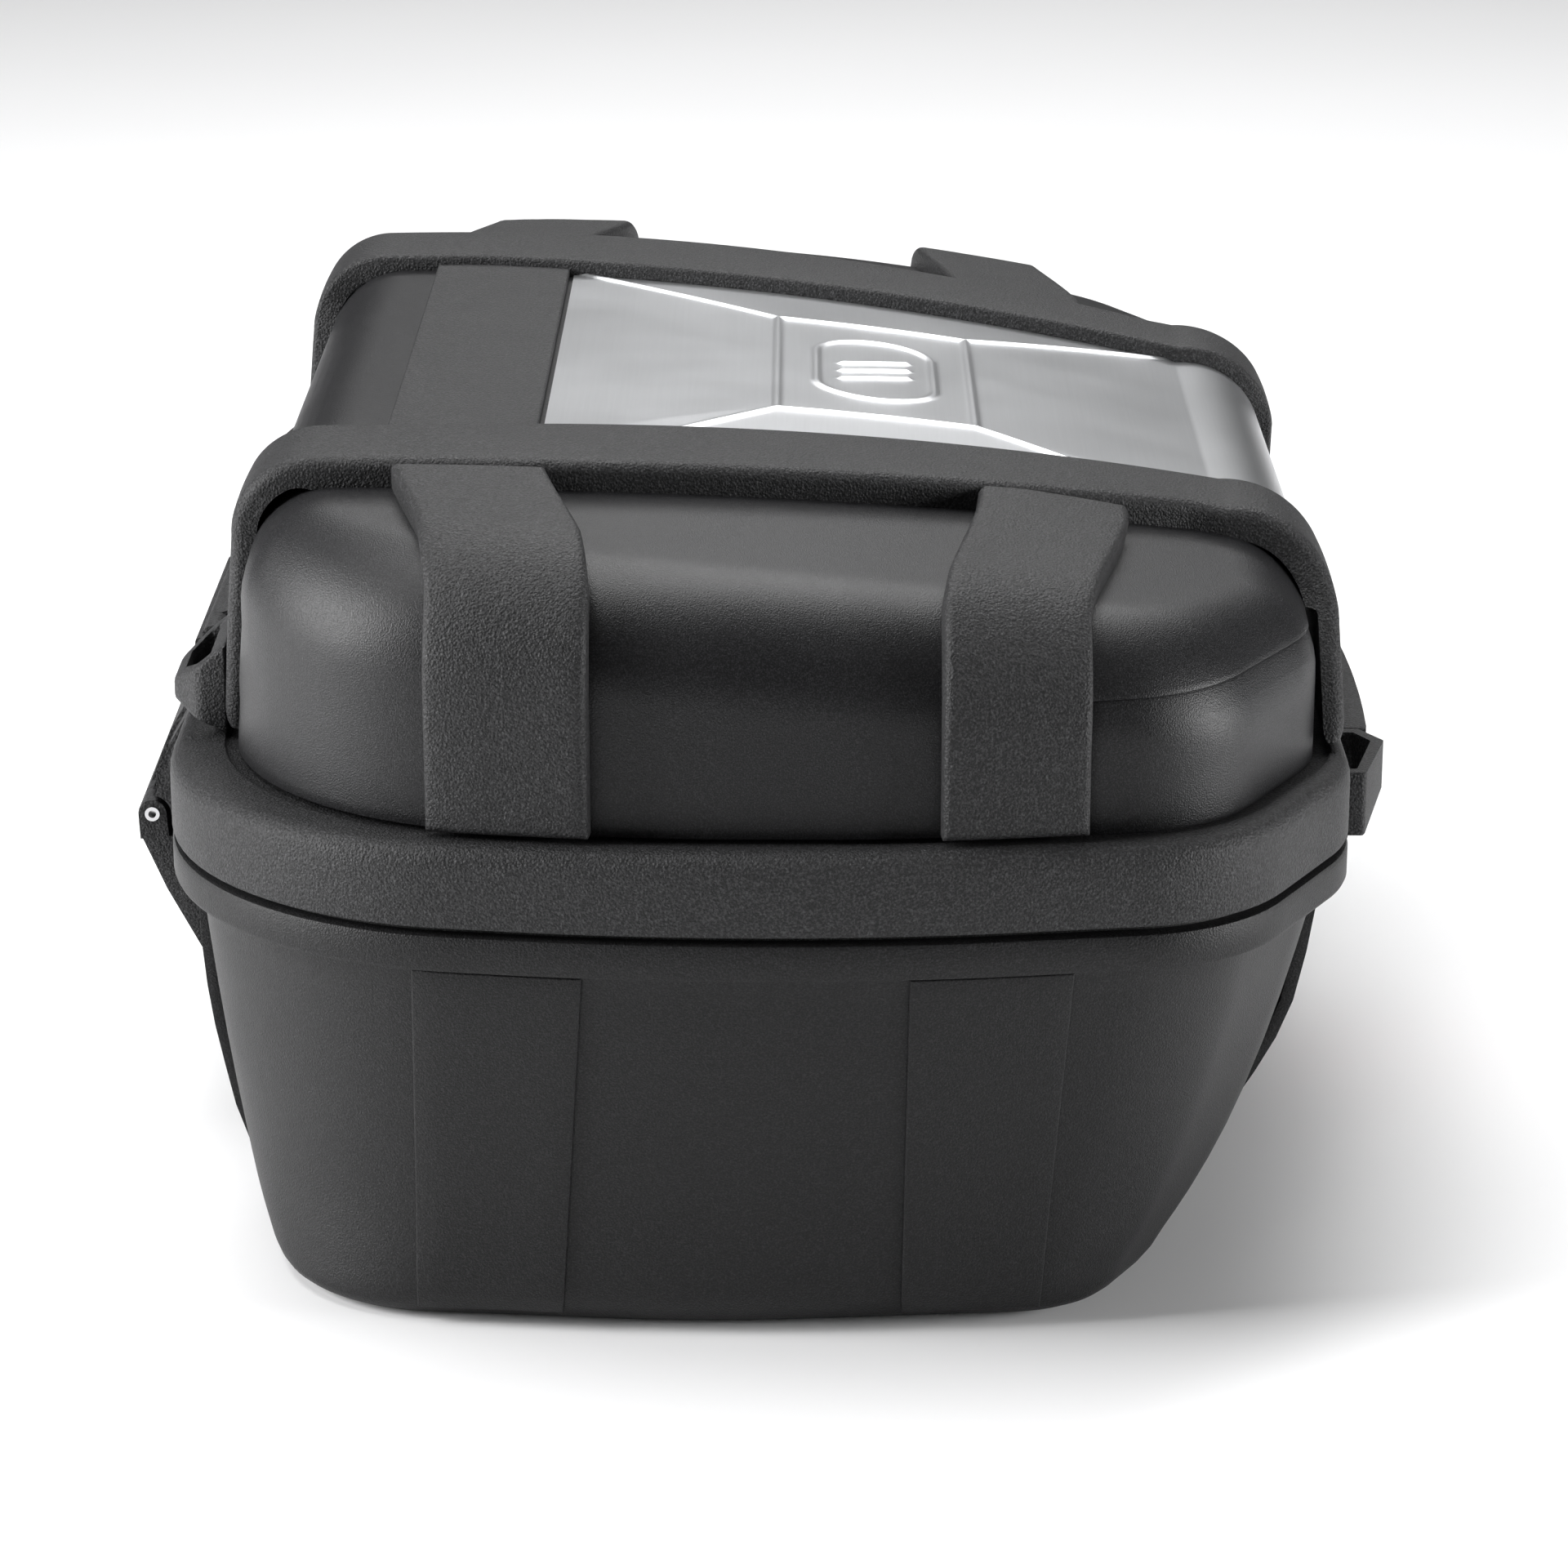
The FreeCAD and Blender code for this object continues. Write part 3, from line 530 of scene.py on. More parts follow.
def noise(tree, coordinates, scale, detail=3.0, rough=0.5):
    node = node_of(tree, "ShaderNodeTexNoise", Scale=scale, Detail=detail, Roughness=rough)
    tree.links.new(coordinates, node.inputs["Vector"])
    return node.outputs["Fac"]


def cells(tree, coordinates, scale, feature="SMOOTH_F1"):
    node = node_of(tree, "ShaderNodeTexVoronoi", feature=feature, Scale=scale)
    if feature == "SMOOTH_F1":
        node.inputs["Smoothness"].default_value = 0.6
    tree.links.new(coordinates, node.inputs["Vector"])
    return node.outputs["Distance"]


def ramp(tree, value, low, high, to_low, to_high):
    node = node_of(tree, "ShaderNodeMapRange")
    limits = {"From Min": low, "From Max": high, "To Min": to_low, "To Max": to_high}
    for key, number in limits.items():
        node.inputs[key].default_value = number
    tree.links.new(value, node.inputs["Value"])
    return node.outputs["Result"]


def shade_mix(tree, factor, a, b):
    node = tree.nodes.new("ShaderNodeMix")
    node.data_type = "RGBA"
    node.inputs["A"].default_value = (*a, 1.0)
    node.inputs["B"].default_value = (*b, 1.0)
    tree.links.new(factor, node.inputs["Factor"])
    return node.outputs["Result"]


def add_bump(tree, height, distance, strength, under=None):
    node = node_of(tree, "ShaderNodeBump", Strength=strength, Distance=distance)
    tree.links.new(height, node.inputs["Height"])
    if under:
        tree.links.new(under, node.inputs["Normal"])
    return node.outputs["Normal"]


def moulded_plastic(name, colour, roughness, grain, depth, waviness=0.00012):
    """Black moulded plastic: grain cells over fine sand, soft mottling and rubbed patches."""
    made, tree, shader, where = start_finish(name, colour, roughness)
    leather = cells(tree, where, 1.0 / grain)
    sand = noise(tree, where, 1.6 / grain, 2.0, 0.6)
    wave = noise(tree, where, 22.0, 2.0)
    normal = add_bump(tree, wave, waviness, 0.35)
    normal = add_bump(tree, sand, depth * 1.2, 1.0, normal)
    normal = add_bump(tree, leather, depth * 1.4, 1.0, normal)
    tree.links.new(normal, shader.inputs["Normal"])
    patch = noise(tree, where, 9.0, 5.0, 0.6)
    rubbed = ramp(tree, patch, 0.3, 0.7, roughness - 0.05, roughness + 0.06)
    tree.links.new(rubbed, shader.inputs["Roughness"])
    pale = tuple(c * 5.0 + 0.004 for c in colour)
    speck = noise(tree, where, 1.0 / grain, 2.0, 0.7)
    tree.links.new(shade_mix(tree, ramp(tree, speck, 0.45, 0.8, 0.0, 1.0), colour, pale),
        shader.inputs["Base Color"])
    shader.inputs["Specular IOR Level"].default_value = 0.26
    return made


def satin_metal(name, colour, roughness, brushed, depth):
    """Rolled or turned metal: fine drawn lines, faint clouding and handling marks."""
    made, tree, shader, where = start_finish(name, colour, roughness, 1.0)
    lines = noise(tree, stretched(tree, where, brushed), 1.0, 4.0, 0.65)
    cloud = noise(tree, where, 14.0, 4.0, 0.6)
    tree.links.new(add_bump(tree, lines, depth, 0.1), shader.inputs["Normal"])
    clouded = ramp(tree, cloud, 0.3, 0.7, roughness - 0.015, roughness + 0.02)
    tree.links.new(clouded, shader.inputs["Roughness"])
    dull = tuple(c * 0.96 for c in colour)
    tree.links.new(shade_mix(tree, ramp(tree, lines, 0.3, 0.7, 0.0, 1.0), dull, colour),
        shader.inputs["Base Color"])
    return made


def finish_for(slot_name):
    """The finish of a material slot, made once."""
    known = bpy.data.materials.get("finish_" + slot_name)
    if known:
        return known
    look = bpy.context.scene.case_colours
    size = bpy.context.scene.case_sizes
    colour = tuple(getattr(look, slot_name))
    plastics = {        # roughness, cell size and depth of the grain
        "grained_black": (0.52, size.coarse_grain, 0.0002),
        "shell_black": (0.46, size.fine_grain, 0.0001),
        "satin_black": (0.36, size.fine_grain * 0.8, 0.00006),
        "seal_rubber": (0.75, 0.0005, 0.00002),
        "button_red": (0.4, 0.0009, 0.00003),
    }
    metals = {          # roughness, stretch of the drawn lines and their depth
        "plate_aluminium": (0.3, (900.0, 12.0, 900.0), 0.00001),
        "lock_chrome": (0.14, (300.0, 300.0, 300.0), 0.000006),
        "pin_steel": (0.27, (90.0, 2200.0, 90.0), 0.00001),
        "screw_steel": (0.27, (90.0, 2200.0, 90.0), 0.00001),
    }
    if slot_name in plastics:
        return moulded_plastic("finish_" + slot_name, colour, *plastics[slot_name])
    return satin_metal("finish_" + slot_name, colour, *metals[slot_name])


# ---- settings ----

def length_setting(label, text, value):
    return FloatProperty(name=label, description=text, default=value * MM, min=0.0, unit="LENGTH")


def colour_setting(label, text, value):
    return FloatVectorProperty(name=label, description=text, default=value, size=3, min=0.0,
        max=1.0, subtype="COLOR")


class CaseSizes(bpy.types.PropertyGroup):
    """Sizes that a user may change."""
    lid_wall: length_setting("Lid wall", "Wall thickness of the lid's mouldings", 3.0)
    bar_rounding: length_setting("Bar rounding", "Rounding of the bars' outer edge", 4.0)
    pad_height: length_setting("Pad height", "How far the bump pads stand off the lid", 8.0)
    pad_rounding: length_setting("Pad rounding", "Rounding of the bump pads' edges", 2.6)
    rib_height: length_setting("Band height", "How far the bands stand off the lower shell", 1.3)
    plate_thickness: length_setting("Plate thickness", "Sheet thickness of the top plate", 1.5)
    emboss_height: length_setting("Emboss height", "Height of the plate's pressed lines", 0.9)
    emboss_width: length_setting("Emboss width", "Half width of the pressed lines", 1.3)
    edge_rounding: length_setting("Edge rounding", "Rounding of small mouldings", 0.8)
    coarse_grain: length_setting("Coarse grain", "Cell size of the leather grain", 0.8)
    fine_grain: length_setting("Fine grain", "Cell size of the fine grain", 0.6)


class CaseColours(bpy.types.PropertyGroup):
    """Colours of the finishes, one for each material slot, and of the floor."""
    grained_black: colour_setting("Grained black", "Belt, bars and pads", (0.012, 0.012, 0.0125))
    shell_black: colour_setting("Shell black", "Lower shell", (0.005, 0.005, 0.0053))
    satin_black: colour_setting("Satin black", "Smooth flap and chin", (0.007, 0.007, 0.0075))
    plate_aluminium: colour_setting("Aluminium", "Top plate", (0.74, 0.75, 0.765))
    pin_steel: colour_setting("Pin steel", "Hinge and lock pins", (0.55, 0.55, 0.56))
    screw_steel: colour_setting("Screw steel", "Screws and rack plate", (0.45, 0.46, 0.47))
    lock_chrome: colour_setting("Chrome", "Key cylinder", (0.75, 0.75, 0.76))
    seal_rubber: colour_setting("Seal rubber", "Lip seal of the rim", (0.02, 0.02, 0.02))
    button_red: colour_setting("Button red", "Rack release button", (0.35, 0.02, 0.015))
    floor: colour_setting("Floor", "Studio floor", (0.86, 0.86, 0.865))


# ---- lower shell ----

class CASE_OT_lower_shell(bpy.types.Operator):
    """Tub with its rim, rounded bottom, recess and pockets for the rack."""
    bl_idname = "case.lower_shell"
    bl_label = "Lower Shell"

    def execute(self, context):
        rings = [at_height(plan_ring(shell_outline(z)), z)
            for z in (0, 0.5, 1.3, 2.4, 4, 6, 9, 13, 18, 24, 32, 42, 55, 70, 86, 102, 115, 124)]
        wall_top = shell_outline(128.0)
        mouth = SHELL_WALL
        for outline, inset, z in (
                (wall_top, -0.5, RIM_LOW - 1.4), (wall_top, -1.6, RIM_LOW - 0.4),
                (wall_top, -3.2, RIM_LOW), (BELT, 1.6, RIM_LOW), (BELT, 0.5, RIM_LOW + 0.4),
                (BELT, 0.0, RIM_LOW + 1.5),
                (BELT, 0.0, SEAM_LOW - 1.6), (BELT, 0.45, SEAM_LOW - 0.5), (BELT, 1.6, SEAM_LOW),
                (wall_top, mouth - 1.0, SEAM_LOW), (wall_top, mouth - 0.2, SEAM_LOW - 0.3),
                (wall_top, mouth, SEAM_LOW - 1.2), (wall_top, mouth, RIM_LOW)):
            rings.append(at_height(plan_ring(outline, inset), z))
        for z in (115, 95, 70, 45, 28, 18, 12, 9, FLOOR_TOP + 0.4, FLOOR_TOP):
            inset = SHELL_WALL + max(0.0, 3.0 - (z - FLOOR_TOP)) * 0.8
            rings.append(at_height(plan_ring(shell_outline(z), inset), z))
        shell = loft_piece("lower_shell_tub", rings, caps=(0, -1))
        studs = [(-58.0, side * 105.0) for side in (-1, 1)]
        screws = [(x, y) for x in (-74.0, 82.0) for y in (-150.0, -50.0, 50.0, 150.0)]
        bosses = [rod("boss", (x, y, FLOOR_TOP - 2), (0, 0, 1), 14.5, 14.6) for x, y in studs]
        bosses += [rod("boss", (x, y, FLOOR_TOP - 2), (0, 0, 1), 6.0, 10.6, 24) for x, y in screws]
        combine(shell, bosses, "UNION")
        cuts = [slab("recess", (-84, -168, -2), (92, 168, 4.4)),
            slab("catch_hole", (38, -20, 2), (91, 20, 14))]
        cuts += [rod("pocket", (x, y, 2), (0, 0, 1), 11.5, 15) for x, y in studs]
        cuts += [rod("screw_hole", (x, y, 2), (0, 0, 1), 2.45, 11, 24) for x, y in screws]
        combine(shell, cuts, "DIFFERENCE")
        place(shell, "base", "shell_black", ["lower_shell"], 32.0)
        return {"FINISHED"}


def end_wall(side, x, z):
    """Points and normals on an end wall of the lower shell at places x and heights z."""
    points = np.zeros((len(x), 3))
    normals = np.zeros((len(x), 3))
    for height in np.unique(z):
        ring = plan_ring(shell_outline(float(height)))
        above = plan_ring(shell_outline(float(height) + 1.0))
        near = ring[:, 1] < -200.0
        order = np.argsort(ring[near][:, 0])
        known = ring[near][order]
        chosen = z == height

        def along_wall(values):
            return np.interp(x[chosen], known[:, 0], values)

        flat = outward(ring)[near][order]
        lean = (above - ring)[near][order][:, 1]
        normal = np.column_stack([along_wall(v) for v in (flat[:, 0], flat[:, 1], lean)])
        normal /= np.linalg.norm(normal, axis=1)[:, None]
        points[chosen] = np.column_stack([x[chosen], along_wall(known[:, 1]),
            np.full(chosen.sum(), height)])
        normals[chosen] = normal
    points[:, 1] *= -side
    normals[:, 1] *= -side
    return points, normals


class CASE_OT_shell_bands(bpy.types.Operator):
    """Two raised bands on each end wall of the lower shell."""
    bl_idname = "case.shell_bands"
    bl_label = "Shell Bands"

    def execute(self, context):
        height = context.scene.case_sizes.rib_height / MM
        for side, end in ENDS:
            for low, top, which in (((-106.0, -60.0), (-104.0, -52.0), "left"),
                    ((45.5, 89.0), (47.0, 97.0), "right")):
                def surface(u, v, side=side, low=low, top=top):
                    z = np.round(6.0 + v * 118.5, 3)
                    a = low[0] + (top[0] - low[0]) * v
                    b = low[1] + (top[1] - low[1]) * v
                    return end_wall(side, a + (b - a) * u, z)
                band = raised_panel("shell_band_%s_%s" % (end, which), surface, 48.0, 118.5, 0.7,
                    height, 0.8, 6.0, 5.0)
                place(band, "base", "shell_black", ["lower_shell"], 40.0)
        return {"FINISHED"}


class CASE_OT_side_panels(bpy.types.Operator):
    """Raised middle panels on the hinge side and the lock side of the lower shell."""
    bl_idname = "case.side_panels"
    bl_label = "Side Panels"

    def execute(self, context):
        left = [(-181.6, 127.0), (-181.2, 112), (-180.6, 94), (-179.4, 80), (-177.4, 66),
            (-174.6, 52), (-171.6, 38), (-167.4, 25.5), (-162.4, 14.5), (-157.0, 16.0)]
        right = [(182.6, 127.0), (182.0, 118), (180.8, 107), (178.4, 92), (174.6, 75), (169.4, 62),
            (162.8, 50), (155.0, 37.5), (146.6, 24.0), (139.4, 12.5), (132.0, 2.6), (126.0, 4.0)]
        half = 145.0
        for name, outer, sign in (("side_panel_hinge", left, 1), ("side_panel_lock", right, -1)):
            depth = sign * 4.2
            inner = [(x + depth, z) for x, z in outer[:-1]]
            inner.append((outer[-1][0] + sign * 1.5, outer[-1][1] + 1))
            outline = outer + list(reversed(inner))
            panel = solid_along_y(name, outline, -half, half, 24)
            add_bevel(panel, 0.9, 3, 35.0)
            place(panel, "base", "shell_black", ["lower_shell"], 30.0)
        return {"FINISHED"}


class CASE_OT_rim_seal(bpy.types.Operator):
    """Lip seal on the rim, with a soft folded lip."""
    bl_idname = "case.rim_seal"
    bl_label = "Rim Seal"

    def execute(self, context):
        low, high = node_box("base_seal")
        profile = ((5.0, low[2]), (5.0, low[2] + 2.4), (5.3, high[2] - 0.9), (5.9, high[2] - 0.2),
            (6.5, high[2]), (7.2, high[2] - 0.3), (7.6, high[2] - 1.1), (7.1, high[2] - 2.2),
            (8.0, low[2] + 1.2), (8.0, low[2]))
        rings = [at_height(plan_ring(BELT, inset), z) for inset, z in profile]
        place(loft_piece("rim_lip_seal", rings, closed=True), "base", "seal_rubber", ["base_seal"])
        return {"FINISHED"}


# ---- lid ----

class CASE_OT_lid_belt(bpy.types.Operator):
    """Belt of the lid with its ledge and the groove that the flap stands in."""
    bl_idname = "case.lid_belt"
    bl_label = "Lid Belt"

    def execute(self, context):
        low, top = SEAM_HIGH, LEDGE
        profile = ((BELT, 1.4, low), (BELT, 0.4, low + 0.4), (BELT, 0.0, low + 1.4),
            (BELT, 0.0, top - 8.0), (BELT, 0.15, top - 5.6), (BELT, 0.7, top - 3.6),
            (BELT, 1.7, top - 1.9),
            (BELT, 3.0, top - 0.8), (BELT, 4.6, top - 0.2), (BELT, 6.0, top),
            (LID, -4.6, top), (LID, -4.0, top - 0.15), (LID, -3.6, top - 0.8),
            (LID, -3.0, top - 1.1),
            (LID, 5.4, top - 1.1), (LID, 6.0, top - 1.6), (LID, 6.0, top - 3.5),
            (BELT, 3.5, top - 4.2), (BELT, 3.5, low))
        rings = [at_height(plan_ring(outline, inset), z) for outline, inset, z in profile]
        belt = loft_piece("lid_belt", rings, closed=True)
        place(belt, "lid", "grained_black", ["lid_frame"], 34.0)
        return {"FINISHED"}


def lid_skin(name, form, foot):
    """Open skin of the lid form, from foot up and closed over the top."""
    hub = plan_ring(LID, 50.0)
    out = outward(hub)
    count = len(hub)
    starts, aheads = [], []
    knee = 200.0
    for z in [foot] + [foot + (knee - foot) * j / 9 for j in range(1, 9)]:
        starts.append(at_height(hub, z))
        aheads.append(np.column_stack([out, np.zeros(count)]))
    for j in range(0, 23):
        a = math.pi / 2 * j / 22
        starts.append(at_height(hub, knee))
        aheads.append(np.column_stack([out * math.cos(a), np.full(count, math.sin(a))]))
    middle = np.column_stack([np.full(count, 6.0), np.clip(hub[:, 1], -120.0, 120.0)])
    for j in range(1, 13):
        share = j / 12
        starts.append(at_height(hub + (middle - hub) * share, knee))
        aheads.append(np.tile((0.0, 0.0, 1.0), (count, 1)))
    points = form.hit(np.vstack(starts), np.vstack(aheads))
    return new_object(name, new_mesh(name, points, ring_faces(count, len(starts))))


class CASE_OT_flap_shell(bpy.types.Operator):
    """The smooth opening part of the lid."""
    bl_idname = "case.flap_shell"
    bl_label = "Flap Shell"

    def execute(self, context):
        flap = lid_skin("flap_smooth_shell", LidForm(0.0), FLAP_FOOT)
        edge = CHIN_X - GAP
        drop_faces(flap, (((edge, 0, 0), (1, 0, 0)), ((0, 0, CHIN_TOP), (0, 0, 1))),
            lambda x, y, z: x > edge and z < CHIN_TOP)
        thicken(flap, context.scene.case_sizes.lid_wall / MM, 0.6)
        place(flap, "flap", "satin_black", ["flap_shell"], 40.0)
        return {"FINISHED"}


class CASE_OT_chin(bpy.types.Operator):
    """Fixed part of the lid on the lock side, with the window for the flap's key."""
    bl_idname = "case.chin"
    bl_label = "Chin"

    def execute(self, context):
        chin = lid_skin("lid_chin", LidForm(1.5), LEDGE - 3.0)
        top = CHIN_TOP - GAP
        low, high = node_box("flap_latch_button")
        grow = 0.5
        y0, y1, z0, z1 = low[1] - grow, high[1] + grow, low[2] - grow, high[2] + grow
        planes = (((CHIN_X, 0, 0), (1, 0, 0)), ((0, 0, top), (0, 0, 1)), ((0, y0, 0), (0, 1, 0)),
            ((0, y1, 0), (0, 1, 0)), ((0, 0, z0), (0, 0, 1)), ((0, 0, z1), (0, 0, 1)))
        drop_faces(chin, planes, lambda x, y, z: x < CHIN_X or z > top or (
            x > 150 and y0 < y < y1 and z0 < z < z1))
        thicken(chin, context.scene.case_sizes.lid_wall / MM, 0.5)
        place(chin, "lid", "satin_black", ["lid_frame"], 40.0)
        return {"FINISHED"}


def smooth_share(value, low, high):
    t = min(1.0, max(0.0, (value - low) / (high - low)))
    return t * t * (3 - 2 * t)


def bar_section(x, z, left):
    """Inner and outer edge of a bar at a place on its path."""
    if left:
        share = smooth_share(z, 228.0, 262.0)
        inner = 104.0 + 8.0 * smooth_share(z, 165.0, 235.0) + 9.5 * share
        outer = 149.0 + 12.6 * smooth_share(z, 150.0, 214.0) + 3.2 * share
        return inner, outer
    share = smooth_share(z, 200.0, 238.0)
    inner = (108.0 - 19.0 * smooth_share(z, 168.0, 232.0)) * (1 - share) + bar_inner(x) * share
    outer = 168.0 - 41.0 * smooth_share(z, 158.0, 239.0)
    return inner, outer


class CASE_OT_bars(bpy.types.Operator):
    """The two carrying bars over the lid with their legs and feet."""
    bl_idname = "case.bars"
    bl_label = "Bars"

    def execute(self, context):
        sizes = context.scene.case_sizes
        path = end_path(0.0, FLAP_FOOT + 2.4, 2)
        along = np.gradient(path, axis=0)
        along /= np.linalg.norm(along, axis=1)[:, None]
        normal = np.column_stack([-along[:, 1], along[:, 0]])
        r_out = sizes.bar_rounding / MM
        r_in = 1.8
        last = len(path) - 1
        for side, end in ENDS:
            rings = []
            for i, ((x, z), n) in enumerate(zip(path, normal)):
                on_left = x < -100.0
                if -136.0 < x < 140.0:
                    inner, outer = float(bar_inner(x)), float(bar_outer(x))
                else:
                    inner, outer = bar_section(x, z, on_left)
                flat = smooth_share(x, -150.0, -128.0) * (1 - smooth_share(x, 128.0, 150.0))
                leg = LEG_BY_CHIN + 3.6 * smooth_share(z, 207.2, 210.2)
                if on_left:
                    leg = LID_DROP + SINK
                deep_in = leg + (STEP_IN + SINK / 2 - leg) * flat
                deep_out = leg + (STEP_OUT + 1.6 - leg) * flat
                shrink = {0: 1.2, 1: 0.35, last: 1.2, last - 1: 0.35}.get(i, 0.0)
                r_now = min(r_out, deep_out * 0.55)
                section = [(inner + shrink, -deep_in + shrink), (inner + shrink, -r_in)]
                for angle in (30.0, 60.0, 90.0):
                    a = math.radians(angle)
                    section.append((inner + r_in * (1 - math.cos(a)) + shrink,
                        r_in * (math.sin(a) - 1) - shrink))
                for share in (0.2, 0.4, 0.6, 0.8):
                    bulge = 0.35 * math.sin(math.pi * share)
                    section.append((inner + r_in + (outer - r_now - inner - r_in) * share,
                        bulge - shrink))
                for angle in (90.0, 70.0, 50.0, 30.0, 12.0, 0.0):
                    a = math.radians(angle)
                    section.append((outer - r_now + r_now * math.cos(a) - shrink,
                        r_now * (math.sin(a) - 1) - shrink))
                section.append((outer - shrink, -deep_out + shrink))
                rings.append(np.array([(x + n[0] * h, side * y, z + n[1] * h) for y, h in section]))
            bar = loft_piece("carrying_bar_" + end, rings, caps=(0, -1))
            place(bar, "flap", "grained_black", ["bar_" + end], 42.0)
        return {"FINISHED"}


class CASE_OT_bump_pads(bpy.types.Operator):
    """Four bump pads that wrap from the end walls over the shoulder to the bars."""
    bl_idname = "case.bump_pads"
    bl_label = "Bump Pads"

    def execute(self, context):
        sizes = context.scene.case_sizes
        form = LidForm(0.0)
        shoulder = (214.0, 204.0)
        foot = FLAP_FOOT + 1.0
        wall_length, turn_length = shoulder[1] - foot, 52.0
        turn_reach, splay_from, splay_to = 36.0, 232.0, 150.0

        def pad_surface(side, on_wall, at_bar):
            roof_end = float(bar_outer((at_bar[0] + at_bar[1]) / 2)) - 2.0
            roof_length = shoulder[0] - roof_end
            total = wall_length + turn_length + roof_length

            def surface(u, v):
                s = v * total
                on = s < wall_length
                over = s > wall_length + turn_length
                a = np.clip((s - wall_length) / turn_length, 0, 1) * math.pi / 2
                y = np.where(over, shoulder[0] - (s - wall_length - turn_length), shoulder[0])
                z = np.where(on, foot + s, shoulder[1])
                reach = np.where(over, y, np.where(on, WALL_Y,
                                                   shoulder[0] + turn_reach * np.cos(a)))
                splay = np.clip((splay_from - reach) / (splay_from - splay_to), 0, 1)
                splay = splay * splay * (3 - 2 * splay) * 0.35 + splay * 0.65
                x0 = on_wall[0] + (at_bar[0] - on_wall[0]) * splay
                x1 = on_wall[1] + (at_bar[1] - on_wall[1]) * splay
                start = np.column_stack([x0 + (x1 - x0) * u, side * y, z])
                ahead = np.column_stack([np.zeros(len(u)), side * np.cos(a), np.sin(a)])
                points = form.hit(start, ahead)
                return points, form.normal(points)
            return surface, total

        for side, end in ENDS:
            for which, on_wall, at_bar in (("left", (-97.0, -49.0), (-116.0, -68.0)),
                    ("right", (56.0, 100.0), (69.0, 116.0))):
                surface, total = pad_surface(side, on_wall, at_bar)
                pad = raised_panel("bump_pad_%s_%s" % (end, which), surface, 47.0, total,
                    sizes.pad_rounding / MM, sizes.pad_height / MM, 0.8, 3.0, 3.0)
                place(pad, "flap", "grained_black", ["pad_%s_%s" % (end, which)], 42.0)
        return {"FINISHED"}


# ---- top plate and band ----

def facets(x, y):
    """Gentle pressed facets of the plate: they rise from its edges to the middle panel."""
    left, right = (x - BAND_X[1]) / (5.7 - BAND_X[1]), (150.0 - x) / (150.0 - 71.7)
    side = (bar_inner(x) - np.abs(y)) / (bar_inner(x) - 62.0)
    return 1.3 * np.clip(np.minimum(np.minimum(left, right), side), 0.0, 1.0)


def top_surface(drop, x_start, x_end_z):
    """Points and normals on the strip between the bars, along the lid's profile."""
    path = end_path(drop, 60.0, 6)
    first = int(np.argmax(path[:, 0] >= x_start))
    path = path[first:]
    if x_end_z[0] is not None:
        path = path[path[:, 0] <= x_end_z[0]]
    else:
        path = path[~((path[:, 0] > 100.0) & (path[:, 1] < x_end_z[1]))]
    steps = np.linalg.norm(np.diff(path, axis=0), axis=1)
    travelled = np.concatenate([[0.0], np.cumsum(steps)])
    along = np.gradient(path, axis=0)
    along /= np.linalg.norm(along, axis=1)[:, None]

    def surface(u, v):
        s = v * travelled[-1]
        x, z = np.interp(s, travelled, path[:, 0]), np.interp(s, travelled, path[:, 1])
        nx, nz = -np.interp(s, travelled, along[:, 1]), np.interp(s, travelled, along[:, 0])
        half = bar_inner(x) - 0.4
        y = (u * 2 - 1) * half
        return np.column_stack([x, y, z]), np.column_stack([nx, np.zeros(len(x)), nz])
    return surface, travelled[-1]


def distance_to_line(x, y, a, b):
    ax, ay = a
    dx, dy = b[0] - ax, b[1] - ay
    t = np.clip(((x - ax) * dx + (y - ay) * dy) / (dx * dx + dy * dy), 0, 1)
    return np.hypot(x - ax - t * dx, y - ay - t * dy)


def pressed_lines(x, y):
    """Distance from each place on the plate to the nearest pressed line."""
    corners = ((5.7, -63.8), (71.7, -60.6), (71.7, 60.6), (5.7, 63.8))
    lines = [(corners[i], corners[(i + 1) % 4]) for i in range(4)]
    lines += [(corners[0], (-44.0, -118.0)), (corners[3], (-66.0, 118.0)),
        (corners[1], (122.0, -95.0)), (corners[2], (148.0, 91.0))]
    lines += [((28.0, y0), (50.0, y0 + 9.0)) for y0 in (-15.0, -4.5, 6.0)]
    near = np.full(x.shape, 1e3)
    for a, b in lines:
        near = np.minimum(near, distance_to_line(x, y, a, b))
    badge = np.abs(distance_to_line(x, y, (39.0, -20.0), (39.0, 20.0)) - 20.0)
    return np.minimum(near, badge)


class CASE_OT_top_plate(bpy.types.Operator):
    """Aluminium plate between the bars with its pressed lines and a plain badge outline."""
    bl_idname = "case.top_plate"
    bl_label = "Top Plate"

    def execute(self, context):
        sizes = context.scene.case_sizes
        surface, total = top_surface(LID_DROP - 0.4, PLATE_X, (None, CHIN_TOP + 1.4))
        rows, columns = int(total / 0.85), 290
        grid_u, grid_v = np.meshgrid(np.linspace(0, 1, columns), np.linspace(0, 1, rows))
        points, normals = surface(grid_u.ravel(), grid_v.ravel())
        near = pressed_lines(points[:, 0], points[:, 1])
        width = sizes.emboss_width / MM
        lift = np.exp(-(near / width) ** 2) * sizes.emboss_height / MM
        lift = lift * (points[:, 2] > 229.0) + facets(points[:, 0], points[:, 1])
        points = points + normals * lift[:, None]
        sheet = new_mesh("top_plate_sheet", points, grid_faces(rows, columns))
        plate = new_object("top_plate_sheet", sheet)
        thicken(plate, sizes.plate_thickness / MM, 0.0)
        place(plate, "flap", "plate_aluminium", ["top_plate"], 60.0)
        return {"FINISHED"}


